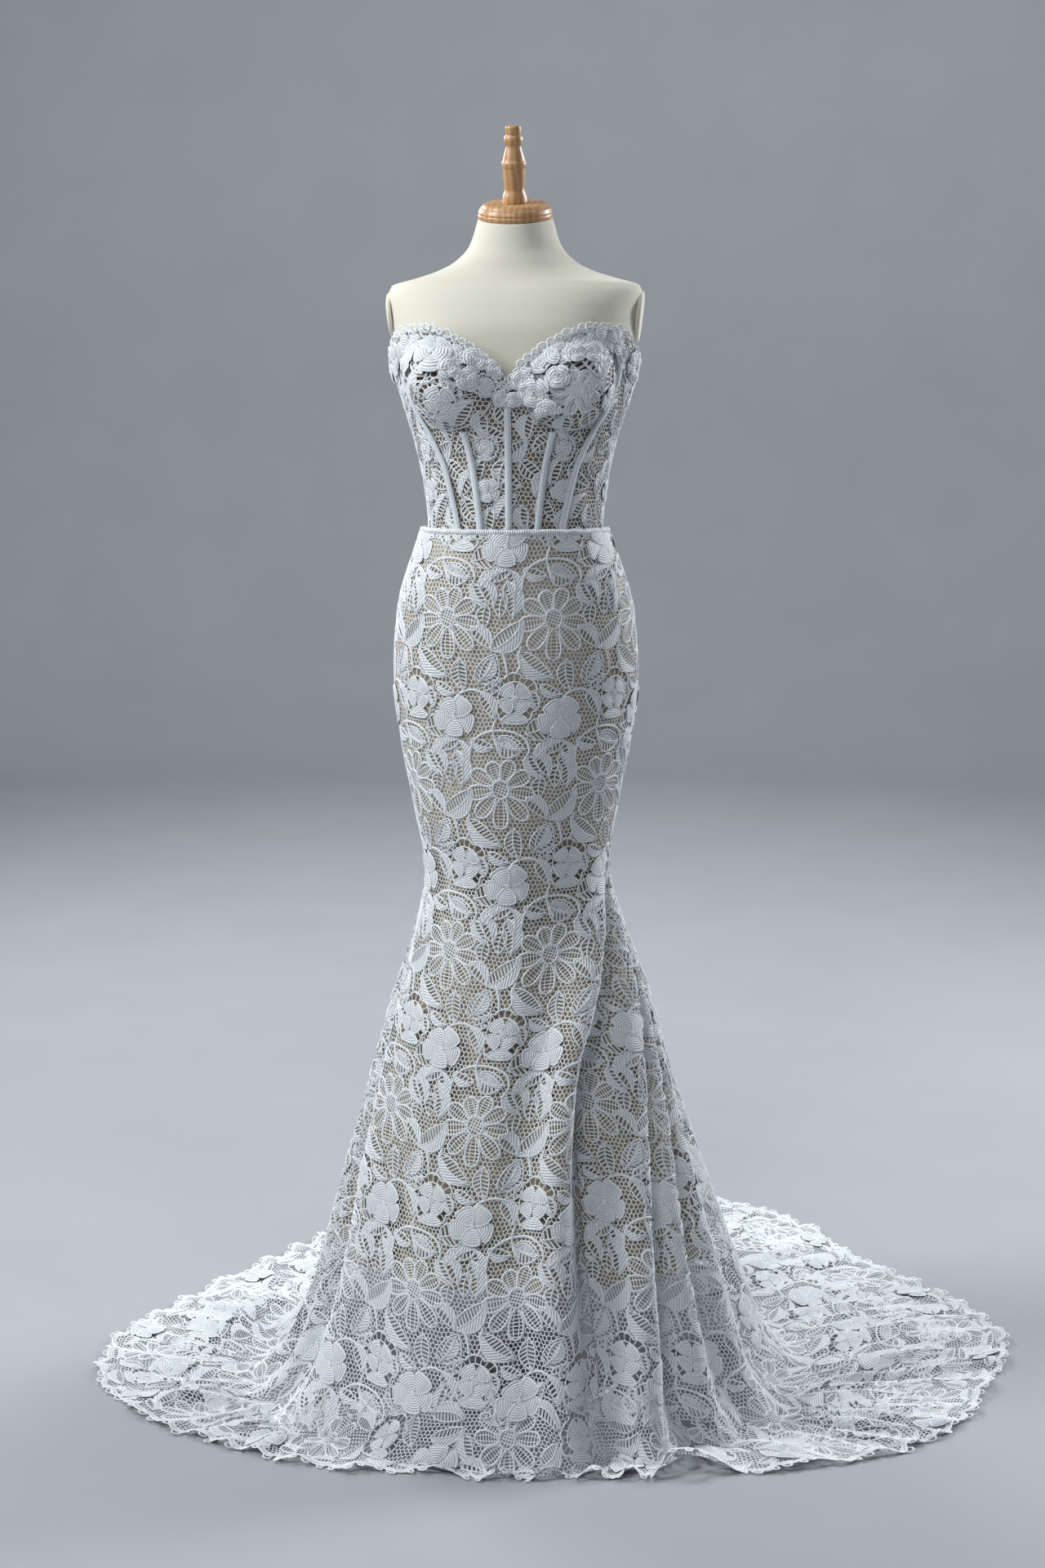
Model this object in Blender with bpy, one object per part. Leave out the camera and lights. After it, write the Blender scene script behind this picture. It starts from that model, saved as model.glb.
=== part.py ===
"""A strapless lace wedding dress with a train, on a limbless dress form.

Metres, +Z up. The origin is the centre of the stand's underside, on the floor.
The front of the dress looks along -Y, and +X is the left side of the form.

An angle round the dress is in degrees from the front, positive towards +X.
Every cloth piece is a thin wall: a grid of base points, and the same points
moved out along the surface by the thickness of the cloth.
"""

import math
from collections import namedtuple

import bmesh
import bpy
import numpy as np
from mathutils import Matrix, Vector

# Cloth sizes
LACE = 0.0016
LINING = 0.0010
BONE_WIDTH = 0.0095
BONE_DEPTH = 0.0026
BONE_EDGE = 0.0006
BACKING = 0.0014
PLACKET_WIDTH = 0.022
PLACKET_DEPTH = 0.0015
PLACKET_GAP = 0.0010
SEAM_GAP = 0.0004
LACE_HOLE = (0.0095, 0.0085)
LEAST_HOLE_CELL = 0.0165
HOLE_REPEAT = 5
LINING_DROP = 0.004
HALF_DROP = 2
RAISED_FLOWER = 0.0018
WORKED_FLOWER = 0.0008
SCALLOP = 0.0065
SHARP_ANGLE = math.radians(50)

# Layers over the form, each measured from the form's surface to the layer's inside
LINING_LAYER = 0.0032
LACE_LAYER = LINING_LAYER + LINING + 0.0012
ON_LACE = LACE_LAYER + LACE + WORKED_FLOWER + 0.0006
FLOWER_LAYER = ON_LACE - 0.0002
CUP_FLOWER_LAYER = ON_LACE + 0.0010

# Heights of the garment's main lines
WAIST = 1.140
BODICE_FOOT = 1.133
LOW_ROWS = (BODICE_FOOT, 1.160, 1.194)
KNEE = 0.780
LINING_HEM = 0.200

# Stand and form
FORM_FOOT = 0.800
POLE_RADIUS = 0.0125
BASE_RADIUS = 0.150
BASE_HEIGHT = 0.016
COLLAR_RADIUS = 0.026
COLLAR_HEIGHT = 0.040
NECK_TOP = 1.524
NECK_LEAN = math.radians(15.0)
CAP_HEIGHT = 0.0205
PLATE_HALF_DEPTH = 0.036
PLATE_HALF_HEIGHT = 0.030
PLATE_THICKNESS = 0.0035
PLATE_PLACE = (0.1569, 0.004, 1.402)
PLATE_TILT = math.radians(7.0)

Section = namedtuple("Section", "height half_width front back lean square")

# The dress form, from its foot to the top of its neck
FORM = (
    Section(0.800, 0.1250, 0.1000, 0.1030, 0.0, 2.0),
    Section(0.870, 0.1390, 0.1050, 0.1120, 0.0, 2.0),
    Section(0.960, 0.1480, 0.1070, 0.1180, 0.0, 2.0),
    Section(1.040, 0.1400, 0.1010, 0.1090, 0.0, 2.0),
    Section(1.100, 0.1190, 0.0930, 0.0920, 0.0, 2.0),
    Section(1.140, 0.1050, 0.0870, 0.0825, 0.0, 2.0),
    Section(1.200, 0.1110, 0.0900, 0.0845, 0.0, 2.0),
    Section(1.260, 0.1250, 0.0970, 0.0915, 0.0, 2.0),
    Section(1.300, 0.1370, 0.1040, 0.0970, 0.0, 2.1),
    Section(1.340, 0.1460, 0.1090, 0.1000, 0.0, 2.2),
    Section(1.380, 0.1525, 0.1070, 0.1020, 0.0, 2.4),
    Section(1.410, 0.1565, 0.0950, 0.1000, 0.0, 2.4),
    Section(1.430, 0.1600, 0.0820, 0.0930, 0.0, 2.3),
    Section(1.441, 0.1560, 0.0720, 0.0860, 0.0, 2.2),
    Section(1.449, 0.1300, 0.0660, 0.0800, 0.0, 2.0),
    Section(1.458, 0.1010, 0.0610, 0.0740, 0.0, 2.0),
    Section(1.470, 0.0770, 0.0570, 0.0670, 0.0, 2.0),
    Section(1.490, 0.0580, 0.0520, 0.0570, 0.0, 2.0),
    Section(1.524, 0.0465, 0.0465, 0.0465, 0.0, 2.0),
)

FORM_SIDES = 24
EXTRA_RINGS = (1.170, 1.230, 1.280, 1.320)

# The lace skirt, from where it meets the floor to the waist
SKIRT = (
    Section(0.000, 0.3600, 0.2960, 0.5100, 0.006, 2.0),
    Section(0.050, 0.3140, 0.2790, 0.4480, 0.010, 2.0),
    Section(0.130, 0.2800, 0.2540, 0.3950, 0.014, 2.0),
    Section(0.230, 0.2460, 0.2260, 0.3300, 0.012, 2.0),
    Section(0.330, 0.2170, 0.2000, 0.2730, 0.008, 2.0),
    Section(0.430, 0.1900, 0.1710, 0.2190, 0.006, 2.0),
    Section(0.530, 0.1640, 0.1430, 0.1680, 0.007, 2.0),
    Section(0.620, 0.1360, 0.1170, 0.1240, 0.005, 2.0),
    Section(0.700, 0.1190, 0.1070, 0.1060, 0.002, 2.0),
    Section(0.780, 0.1310, 0.1100, 0.1110, 0.000, 2.0),
    Section(0.870, 0.1480, 0.1145, 0.1210, 0.000, 2.0),
    Section(0.960, 0.1570, 0.1150, 0.1270, 0.000, 2.0),
    Section(1.040, 0.1500, 0.1105, 0.1180, 0.000, 2.0),
    Section(1.100, 0.1320, 0.1050, 0.1030, 0.000, 2.0),
    Section(1.140, 0.1165, 0.0995, 0.0935, 0.000, 2.0),
)
SKIRT_ROWS = tuple(section.height for section in reversed(SKIRT))
TRAIN_SHARES = (0.5, 1.0)
LINING_TOP = 1.136
LINING_ROWS = (LINING_TOP,) + SKIRT_ROWS[1:-4] + (LINING_HEM,)

# How far the hem reaches from the origin at each angle
Reach = namedtuple("Reach", "angle radius")
HEM = (
    Reach(-180, 0.800), Reach(-166, 0.765), Reach(-152, 0.655), Reach(-138, 0.560),
    Reach(-123, 0.535), Reach(-113, 0.533), Reach(-104, 0.550), Reach(-95, 0.565),
    Reach(-84, 0.560), Reach(-75, 0.526), Reach(-66, 0.489), Reach(-54, 0.428),
    Reach(-34, 0.363), Reach(-12, 0.312), Reach(15, 0.316), Reach(41, 0.376),
    Reach(57, 0.458), Reach(69, 0.540), Reach(80, 0.595), Reach(91, 0.630),
    Reach(98, 0.668), Reach(105, 0.688), Reach(113, 0.686), Reach(121, 0.668),
    Reach(133, 0.658), Reach(142, 0.700), Reach(151, 0.733), Reach(159, 0.745),
    Reach(170, 0.785), Reach(180, 0.800),
)

# A fold line runs from the waist to the hem. Its angles are given at the waist, at
# the heights FOLD_HEIGHTS and at the hem, and out_* is how far it stands out there.
Fold = namedtuple("Fold", "name waist knee calf shin floor hem out_calf out_shin out_floor")
FOLD_HEIGHTS = (0.000, 0.245, 0.455, 0.780, 1.140)
GODET_TOP = 0.8
RIPPLE_ROOM = 0.15
FOLDS_START = 0.080
CLOSE_LINING = 0.0009
LOOSE_LINING = 0.0085
# How much further in the lining's top edge lies, sewn to the foot of the bodice
LINING_TURN_IN = 0.0014
BACK_LEFT_FOLDS = (
    Fold("centre", -180, -180, -180, -180, -180, -180, 0.010, 0.012, 0.010),
    Fold("back_1", -162, -160, -157, -157, -160, -165, -0.010, -0.014, -0.010),
    Fold("back_2", -145, -143, -139, -138, -141, -149, 0.010, 0.015, 0.014),
    Fold("back_3", -127, -126, -121, -119, -122, -130, -0.010, -0.014, -0.010),
    Fold("back_4", -109, -108, -105, -102, -103, -112, 0.009, 0.013, 0.012),
)
GODET_LEFT_FOLDS = (
    Fold("back_edge", -90, -90, -92, -88, -88, -96, -0.006, -0.010, -0.008),
    Fold("crest_b", -90, -90, -86, -82, -81, -88, 0.006, 0.010, 0.010),
    Fold("recess", -90, -90, -82, -76, -74, -80, -0.010, -0.016, -0.012),
    Fold("crest_a", -90, -90, -78, -71, -67, -73, 0.003, 0.009, 0.009),
)
FRONT_FOLDS = (
    Fold("left_edge", -90, -90, -74, -66, -60, -66, -0.006, -0.012, -0.010),
    Fold("left_crest", -72, -72, -63, -57, -51, -55, 0.004, 0.010, 0.014),
    Fold("left_flank", -48, -47, -43, -39, -35, -35, 0.000, 0.000, 0.000),
    Fold("front_left", -22, -22, -23, -22, -20, -19, 0.001, 0.003, 0.004),
    Fold("front", 4, 5, -5, -9, -6, -5, 0.000, 0.000, 0.000),
    Fold("trough", 32, 33, 9, 2, 4, 5, -0.009, -0.004, -0.002),
    Fold("crest", 66, 72, 23, 14, 13, 14, 0.020, 0.018, 0.010),
)
GODET_RIGHT_FOLDS = (
    Fold("front_edge", 90, 90, 31, 25, 23, 25, -0.030, -0.028, -0.012),
    Fold("crest_1", 90, 90, 57, 41, 31, 34, 0.014, 0.022, 0.016),
    Fold("recess_1", 90, 90, 65, 49, 41, 45, -0.015, -0.022, -0.012),
    Fold("crest_2", 90, 90, 73, 56, 49, 56, 0.008, 0.015, 0.012),
    Fold("recess_2", 90, 90, 79, 63, 57, 66, -0.008, -0.016, -0.010),
    Fold("crest_3", 90, 90, 86, 72, 66, 78, 0.006, 0.012, 0.012),
)
BACK_RIGHT_FOLDS = (
    Fold("front_edge", 90, 90, 93, 83, 78, 91, -0.008, -0.010, -0.008),
    Fold("back_5", 108, 107, 107, 101, 98, 107, 0.010, 0.014, 0.012),
    Fold("back_6", 126, 124, 122, 119, 118, 124, -0.010, -0.014, -0.010),
    Fold("back_7", 144, 142, 139, 138, 138, 143, 0.012, 0.016, 0.013),
    Fold("back_8", 162, 160, 158, 158, 159, 162, -0.008, -0.012, -0.010),
)
CENTRE_BACK = Fold("centre", 180, 180, 180, 180, 180, 180, 0.010, 0.012, 0.010)

# The panels of the lace skirt, in order round it, with the columns of cloth between one
# fold line and the next, and the steps of the scalloped hem in each column
Panel = namedtuple("Panel", "name folds columns hem_steps first_row")
KNEE_ROW = SKIRT_ROWS.index(KNEE)
PANELS = (
    Panel("skirt_lace_back_left", BACK_LEFT_FOLDS, 3, 4, 0),
    Panel("skirt_lace_godet_left", GODET_LEFT_FOLDS, 2, 2, KNEE_ROW),
    Panel("skirt_lace_front", FRONT_FOLDS, 3, 2, 0),
    Panel("skirt_lace_godet_right", GODET_RIGHT_FOLDS, 2, 2, KNEE_ROW),
    Panel("skirt_lace_back_right", BACK_RIGHT_FOLDS, 3, 4, 0),
)
Column = namedtuple("Column", "left right share")

# The top edge of the bodice and the lower edge of each cup
Line = namedtuple("Line", "angle height")
TOP_EDGE = (
    Line(0, 1.306), Line(5, 1.334), Line(12, 1.354), Line(22, 1.371), Line(36, 1.381),
    Line(50, 1.380), Line(62, 1.374), Line(72, 1.361), Line(85, 1.348), Line(100, 1.342),
    Line(130, 1.326), Line(180, 1.306),
)
CUP_SEAM = (
    Line(0, 1.300), Line(6, 1.296), Line(12, 1.280), Line(20, 1.268), Line(33, 1.262),
    Line(44, 1.270), Line(52, 1.288), Line(60, 1.318),
)
# The row that the pieces without a cup have at the height of the cups' seam
MIDDLE_ROW = (Line(0, 1.286), Line(8, 1.284)) + CUP_SEAM[2:] + (
    Line(72, 1.290), Line(85, 1.268), Line(180, 1.262))
# The bone channels run from the waist to the cups, and the lace is seamed under them
INNER_BONE = (Line(18.6, 1.140), Line(22.0, 1.220), Line(25.0, 1.270), Line(26.0, 1.400))
OUTER_BONE = (Line(35.3, 1.140), Line(43.0, 1.220), Line(50.5, 1.270), Line(58.0, 1.320),
              Line(60.0, 1.400))
SIDE_BACK = 104.0
# Lines run up the bodice, numbered from the centre front: the seams' numbers
INNER_SEAM, OUTER_SEAM, SIDE_SEAM, CENTRE_SEAM = 4, 8, 13, 19
CUP_LINES = (0.5, 1, 2, 3, 4, 5, 6, 7, 8)
SIDE_LINES = (8.1, 9, 10, 11, 12, 13)

BUST = (33.0, 1.316)
BUST_SPREAD = (18.0, 0.044)
BUST_HEIGHT = 0.022
FORM_BUST = 0.75
CUP_CENTRE = (32.0, 1.308)
CUP_SPREAD = (27.0, 0.058)
CUP_HEIGHT = 0.009
CUP_STEP = 0.012

# Flowers sewn along the neckline: angle, how far below the top edge, and radius
Flower = namedtuple("Flower", "angle drop radius")
NECKLINE_FLOWERS = (
    Flower(9, 0.030, 0.024), Flower(21, 0.022, 0.026), Flower(38, 0.012, 0.030),
    Flower(55, 0.014, 0.028), Flower(72, 0.012, 0.026), Flower(90, 0.010, 0.026),
    Flower(108, 0.010, 0.026), Flower(127, 0.010, 0.026), Flower(146, 0.010, 0.026),
    Flower(164, 0.010, 0.024),
)
PETAL_HEIGHT = 0.0042
# How far the flowers reach down from the top edge
FLOWER_REACH = (Line(3, 0.034), Line(12, 0.056), Line(24, 0.044), Line(40, 0.032),
                Line(62, 0.030), Line(110, 0.026), Line(180, 0.024))
BUTTON_RADIUS = 0.0055
BUTTON_PITCH = 0.026
BUTTON_SHANK = 0.0004


def clear_scene():
    for obj in list(bpy.data.objects):
        bpy.data.objects.remove(obj, do_unlink=True)


def material(name, colour, roughness, metallic=0.0):
    made = bpy.data.materials.new(name)
    made.use_nodes = True
    shader = made.node_tree.nodes["Principled BSDF"]
    shader.inputs["Base Color"].default_value = (*colour, 1.0)
    shader.inputs["Roughness"].default_value = roughness
    shader.inputs["Metallic"].default_value = metallic
    made.diffuse_color = (*colour, 1.0)
    return made


def add_mesh(name, points, faces, finish):
    """A closed mesh object facing out, shaded smooth but for its sharp edges."""
    mesh = bpy.data.meshes.new(name)
    mesh.from_pydata([tuple(map(float, point)) for point in points], [], faces)
    work = bmesh.new()
    work.from_mesh(mesh)
    if work.calc_volume(signed=True) < 0:
        bmesh.ops.reverse_faces(work, faces=work.faces)
    work.to_mesh(mesh)
    work.free()
    mesh.materials.append(finish)
    mesh.shade_smooth()
    mesh.set_sharp_from_angle(angle=SHARP_ANGLE)
    obj = bpy.data.objects.new(name, mesh)
    bpy.context.scene.collection.objects.link(obj)
    return obj


def along(places, values, place):
    """A smooth curve through values at rising places, which never swings past them."""
    places = np.asarray(places, float)
    values = np.asarray(values, float)
    place = np.clip(place, places[0], places[-1])
    rises = np.diff(values) / np.diff(places)
    slopes = np.zeros_like(values)
    slopes[0], slopes[-1] = rises[0], rises[-1]
    before, after = rises[:-1], rises[1:]
    same = before * after > 0
    slopes[1:-1][same] = 2 * before[same] * after[same] / (before[same] + after[same])
    i = np.clip(np.searchsorted(places, place, side="right") - 1, 0, len(places) - 2)
    step = places[i + 1] - places[i]
    t = (place - places[i]) / step
    start = (1 + 2 * t) * (1 - t) ** 2 * values[i] + t * (1 - t) ** 2 * step * slopes[i]
    end = t * t * (3 - 2 * t) * values[i + 1] + t * t * (t - 1) * step * slopes[i + 1]
    return float(start + end)


def section_point(table, angle, height, out=0.0):
    """The point of a sectioned surface at an angle and a height, moved out by out."""
    heights = [section.height for section in table]
    half_width, front, back, lean, square = (
        along(heights, [section[k] for section in table], height) for k in range(1, 6))
    turn = math.radians(angle)
    across, along_y = math.sin(turn), -math.cos(turn)
    depth = front if along_y < 0 else back
    power = 2.0 / square
    x = math.copysign(abs(across) ** power, across) * (half_width + out) + lean
    y = math.copysign(abs(along_y) ** power, along_y) * (depth + out)
    return np.array((x, y, height))


def unit(vector):
    return vector / np.linalg.norm(vector)


def line_at(line, angle):
    return float(np.interp(abs(angle), [p.angle for p in line], [p.height for p in line]))


def angle_of(line, height):
    return float(np.interp(height, [p.height for p in line], [p.angle for p in line]))


def mirrored(grids):
    """Grids of points carried over to the other side of the centre front."""
    return [grid[:, ::-1] * (-1, 1, 1) for grid in grids]


# Walls


def cell_corners(row, column):
    return (row, column), (row, column + 1), (row + 1, column + 1), (row + 1, column)


def hole_tips(corners):
    """The four tips of a gap in the middle of a cell, on a cell with these corners."""
    a, b, c, d = corners
    width = np.linalg.norm(b + c - a - d) / 2
    height = np.linalg.norm(c + d - a - b) / 2
    reach_u, reach_v = LACE_HOLE[0] / width / 2, LACE_HOLE[1] / height / 2
    tips = ((0.5, 0.5 - reach_v), (0.5 + reach_u, 0.5), (0.5, 0.5 + reach_v), (0.5 - reach_u, 0.5))
    return [(1 - v) * ((1 - u) * a + u * b) + v * ((1 - u) * d + u * c) for u, v in tips]


class Wall:
    """A closed wall between two grids of points, the inner and the outer side. The last
    row may be a hem instead, a finer row with so many steps to a column."""

    def __init__(self, grids, hem=None, hem_steps=1):
        self.grids = grids
        self.hem = hem
        self.hem_steps = hem_steps
        self.rows, self.columns = grids[0].shape[:2]
        self.points = []
        self.faces = []
        self.index = {}

    def point(self, side, key):
        """The number of a point: a grid point, or a hem or gap point kept by its key."""
        if (side, key) not in self.index:
            if key[0] == "hem":
                place = self.hem[side][key[1]]
            elif key[0] == "gap":
                place = hole_tips([self.grids[side][k] for k in cell_corners(*key[1:3])])[key[3]]
            else:
                place = self.grids[side][key]
            self.index[side, key] = len(self.points)
            self.points.append(place)
        return self.index[side, key]

    def face(self, side, keys):
        corners = [self.point(side, key) for key in keys]
        self.faces.append(corners if side else corners[::-1])

    def cell(self, side, row, column, gap):
        ring = cell_corners(row, column)
        if not gap:
            self.face(side, (ring[0], ring[3], ring[2]))
            self.face(side, (ring[0], ring[2], ring[1]))
            return
        tips = [("gap", row, column, k) for k in range(4)]
        for k in range(4):
            after = (k + 1) % 4
            self.face(side, (ring[k], tips[k], ring[after]))
            self.face(side, (tips[k], tips[after], ring[after]))

    def hem_cell(self, side, row, column):
        """A fan from each upper corner of a cell down to the finer hem."""
        first = column * self.hem_steps
        low = [("hem", first + k) for k in range(self.hem_steps + 1)]
        middle = self.hem_steps // 2
        for k in range(self.hem_steps):
            top = (row, column) if k < middle or self.hem_steps == 1 else (row, column + 1)
            self.face(side, (top, low[k], low[k + 1]))
        self.face(side, ((row, column), low[middle], (row, column + 1)))

    def rim(self, keys):
        """The narrow faces between the two sides, round an edge or a gap."""
        for near, far in zip(keys, keys[1:] + keys[:1]):
            self.faces.append([self.index[0, near], self.index[1, near],
                               self.index[1, far], self.index[0, far]])

    def build(self, name, finish, gaps=()):
        cell_rows = self.rows - 1 if self.hem is None else self.rows - 2
        for side in (0, 1):
            for column in range(self.columns - 1):
                for row in range(cell_rows):
                    self.cell(side, row, column, (row, column) in gaps)
                if self.hem is not None:
                    self.hem_cell(side, cell_rows, column)
        for row, column in gaps:
            self.rim([("gap", row, column, k) for k in (3, 2, 1, 0)])
        last = self.columns - 1
        top = [(0, column) for column in range(self.columns)]
        right = [(row, last) for row in range(1, cell_rows + 1)]
        left = [(row, 0) for row in range(cell_rows, 0, -1)]
        if self.hem is None:
            bottom = [(cell_rows, column) for column in range(last - 1, 0, -1)]
        else:
            bottom = [("hem", k) for k in range(len(self.hem[0]) - 1, -1, -1)]
        self.rim(top + right + bottom + left)
        return add_mesh(name, self.points, self.faces, finish)


def pull_in(grid):
    """Moves the two side edges of a grid towards its middle, to leave a seam's gap."""
    for edge, beside in ((0, 1), (-1, -2)):
        step = grid[:, beside] - grid[:, edge]
        length = np.linalg.norm(step, axis=1, keepdims=True)
        grid[:, edge] += step / length * np.minimum(SEAM_GAP / 2, 0.3 * length)


def round_body(name, rings, finish):
    """A closed body through rings of points, each with as many points, from its foot to
    its top, where the first and the last ring are closed by a flat fan."""
    sides = len(rings[0])
    points = [np.mean(rings[0], axis=0)] + [point for ring in rings for point in ring]
    points.append(np.mean(rings[-1], axis=0))
    faces = []
    for side in range(sides):
        beside = (side + 1) % sides
        faces.append((0, 1 + beside, 1 + side))
        for ring in range(len(rings) - 1):
            low, high = 1 + ring * sides, 1 + (ring + 1) * sides
            faces.append((low + side, low + beside, high + beside, high + side))
        high = 1 + (len(rings) - 1) * sides
        faces.append((high + side, high + beside, len(points) - 1))
    return add_mesh(name, points, faces, finish)


def turned(name, profile, finish, sides, place=Matrix.Identity(4)):
    """A body of revolution about Z, through (radius, height) from its foot to its top."""
    rings = []
    for radius, height in profile:
        turns = [2 * math.pi * side / sides for side in range(sides)]
        ring = [place @ Vector((radius * math.cos(turn), radius * math.sin(turn), height))
                for turn in turns]
        rings.append([tuple(point) for point in ring])
    return round_body(name, rings, finish)


# The dress form and its stand


def near_bust(angle, height, centre, spread):
    """How far a place is from the middle of a breast, squared, in spreads."""
    across = (abs(angle) - centre[0]) / spread[0]
    up = (height - centre[1]) / spread[1]
    return across * across + up * up


def worn_point(angle, height):
    """The surface that the bodice is laid over: the form, filled out at the bust."""
    bust = BUST_HEIGHT * math.exp(-near_bust(angle, height, BUST, BUST_SPREAD))
    return section_point(FORM, angle, height, bust)


def worn_normal(angle, height):
    step_angle, step_up = 0.8, 0.002
    across = worn_point(angle + step_angle, height) - worn_point(angle - step_angle, height)
    up = worn_point(angle, height + step_up) - worn_point(angle, height - step_up)
    return unit(np.cross(across, up))


def add_form(finish):
    rings = []
    foot_of_lean = 1.470
    for height in sorted([section.height for section in FORM] + list(EXTRA_RINGS)):
        lean = (height - foot_of_lean) / (NECK_TOP - foot_of_lean)
        slope = min(max(lean, 0.0), 1.0) * math.tan(NECK_LEAN)
        ring = []
        for side in range(FORM_SIDES):
            angle = 360 * side / FORM_SIDES - 180
            bust = math.exp(-near_bust(angle, height, BUST, BUST_SPREAD))
            x, y, z = section_point(FORM, angle, height, FORM_BUST * BUST_HEIGHT * bust)
            ring.append((x, y, z + slope * y))
        rings.append(ring)
    round_body("form_body", rings, finish)


def add_arm_plates(finish):
    bevel = 0.0008
    profile = ((1.0, 0.0), (1.0, PLATE_THICKNESS - bevel), (0.96, PLATE_THICKNESS))
    for name, side in (("arm_plate_right", -1), ("arm_plate_left", 1)):
        x, y, z = PLATE_PLACE
        place = Matrix.Translation((side * x, y, z))
        place = place @ Matrix.Rotation(side * (math.pi / 2 + PLATE_TILT), 4, "Y")
        place = place @ Matrix.Diagonal((PLATE_HALF_HEIGHT, PLATE_HALF_DEPTH, 1.0, 1.0))
        turned(name, profile, finish, 20, place)


def neck_frame(rise):
    """A place on the leaning axis of the neck, rise above its top."""
    place = Matrix.Translation((0.0, 0.0, NECK_TOP)) @ Matrix.Rotation(NECK_LEAN, 4, "X")
    return place @ Matrix.Translation((0.0, 0.0, rise))


def add_cap_and_finial(finish):
    cap = ((0.0455, 0.0), (0.0470, 0.0020), (0.0470, 0.0060), (0.0455, 0.0070),
           (0.0468, 0.0085), (0.0440, 0.0145), (0.0428, 0.0155), (0.0400, 0.0195),
           (0.0370, CAP_HEIGHT))
    turned("neck_cap", cap, finish, 24, neck_frame(SEAM_GAP))
    finial = ((0.0163, 0.0), (0.0168, 0.0020), (0.0158, 0.0080), (0.0122, 0.0155),
              (0.0133, 0.0180), (0.0127, 0.0225), (0.0148, 0.0400), (0.0163, 0.0425),
              (0.0163, 0.0460), (0.0148, 0.0485), (0.0118, 0.0580), (0.0099, 0.0740),
              (0.0127, 0.0820), (0.0124, 0.0855), (0.0094, 0.0895), (0.0094, 0.0985),
              (0.0085, 0.1000))
    turned("finial", finial, finish, 14, neck_frame(CAP_HEIGHT + 2 * SEAM_GAP))


def add_stand(finish):
    base = ((BASE_RADIUS, 0.0), (BASE_RADIUS, 0.009), (BASE_RADIUS - 0.004, 0.012),
            (COLLAR_RADIUS, BASE_HEIGHT), (COLLAR_RADIUS - 0.004, COLLAR_HEIGHT))
    turned("stand_base", base, finish, 32)
    low, high = COLLAR_HEIGHT + SEAM_GAP, FORM_FOOT - SEAM_GAP
    turned("stand_pole", ((POLE_RADIUS, low), (POLE_RADIUS, high)), finish, 16)


# The bodice


def top_edge(angle):
    return line_at(TOP_EDGE, angle)


def cup_seam(angle):
    return line_at(CUP_SEAM, angle)


def cup_lift(angle, height):
    """How far a cup stands off the worn shape: a dome that starts at the cup's seam."""
    dome = max(0.0, 1 - near_bust(angle, height, CUP_CENTRE, CUP_SPREAD))
    rise = (height - cup_seam(angle)) / CUP_STEP
    return CUP_HEIGHT * dome * min(max(rise, 0.0), 1.0)


def worked_lace(angle, height):
    """The lace is deeper where a flower is worked in it."""
    return LACE + WORKED_FLOWER * max(0.0, math.sin(angle * 0.42) * math.sin(height * 120.0))


def line_angle(line, height):
    """The angle of one of the lines that run up the bodice, at a height."""
    seams = (0, INNER_SEAM, OUTER_SEAM, SIDE_SEAM, CENTRE_SEAM)
    inner, outer = angle_of(INNER_BONE, height), angle_of(OUTER_BONE, height)
    return math.copysign(np.interp(abs(line), seams, (0.0, inner, outer, SIDE_BACK, 180.0)), line)


def rows_to(edge):
    """Heights at an angle of the rows from the waist up to an edge."""
    def rows(angle):
        high = edge(angle)
        return list(LOW_ROWS) + [(LOW_ROWS[-1] + high) / 2, high]
    return rows


def rows_over(steps, drop=0.0):
    """Heights at an angle of the rows from the waist up to drop below the top edge."""
    def rows(angle):
        low = rows_to(lambda place: line_at(MIDDLE_ROW, place))(angle)
        rise = top_edge(angle) - drop - low[-1]
        return low + [low[-1] + rise * step / steps for step in range(1, steps + 1)]
    return rows


def rows_between(low, high, steps):
    def rows(angle):
        foot, top = low(angle), high(angle)
        return [foot + (top - foot) * step / steps for step in range(steps + 1)]
    return rows


def place_on(line, row, rows):
    """The angle and height where a line crosses a row: each depends on the other, and a
    few rounds settle both."""
    height = WAIST
    for _ in range(6):
        angle = line_angle(line, height)
        height = rows(angle)[row]
    return angle, height


def bodice_grids(lines, rows, layer, depth, lift=None):
    """The inner and outer side of a bodice piece along some lines and rows, where depth
    gives how thick it is and lift how far it stands off its layer."""
    count = len(rows(0.0))
    inner = np.zeros((count, len(lines), 3))
    outer = np.zeros_like(inner)
    for row in range(count):
        for column, line in enumerate(lines):
            angle, height = place_on(line, row, rows)
            normal = worn_normal(angle, height)
            off = layer + (lift(angle, height) if lift else 0.0)
            inner[row, column] = worn_point(angle, height) + normal * off
            outer[row, column] = inner[row, column] + normal * depth(angle, height)
    for grid in (inner, outer):
        pull_in(grid)
    return inner, outer


def add_pair(name, grids, finish):
    Wall(mirrored(grids)).build(name + "_right", finish)
    Wall(grids).build(name + "_left", finish)


def add_bodice_lining(finish):
    front = range(-SIDE_SEAM, SIDE_SEAM + 1)
    back = range(SIDE_SEAM, CENTRE_SEAM + 1)
    grids = bodice_grids(front, rows_over(3, LINING_DROP), LINING_LAYER, lambda *_: LINING)
    Wall(grids).build("bodice_lining_front", finish)
    grids = bodice_grids(back, rows_over(2, LINING_DROP), LINING_LAYER, lambda *_: LINING)
    add_pair("bodice_lining_back", grids, finish)


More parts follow.
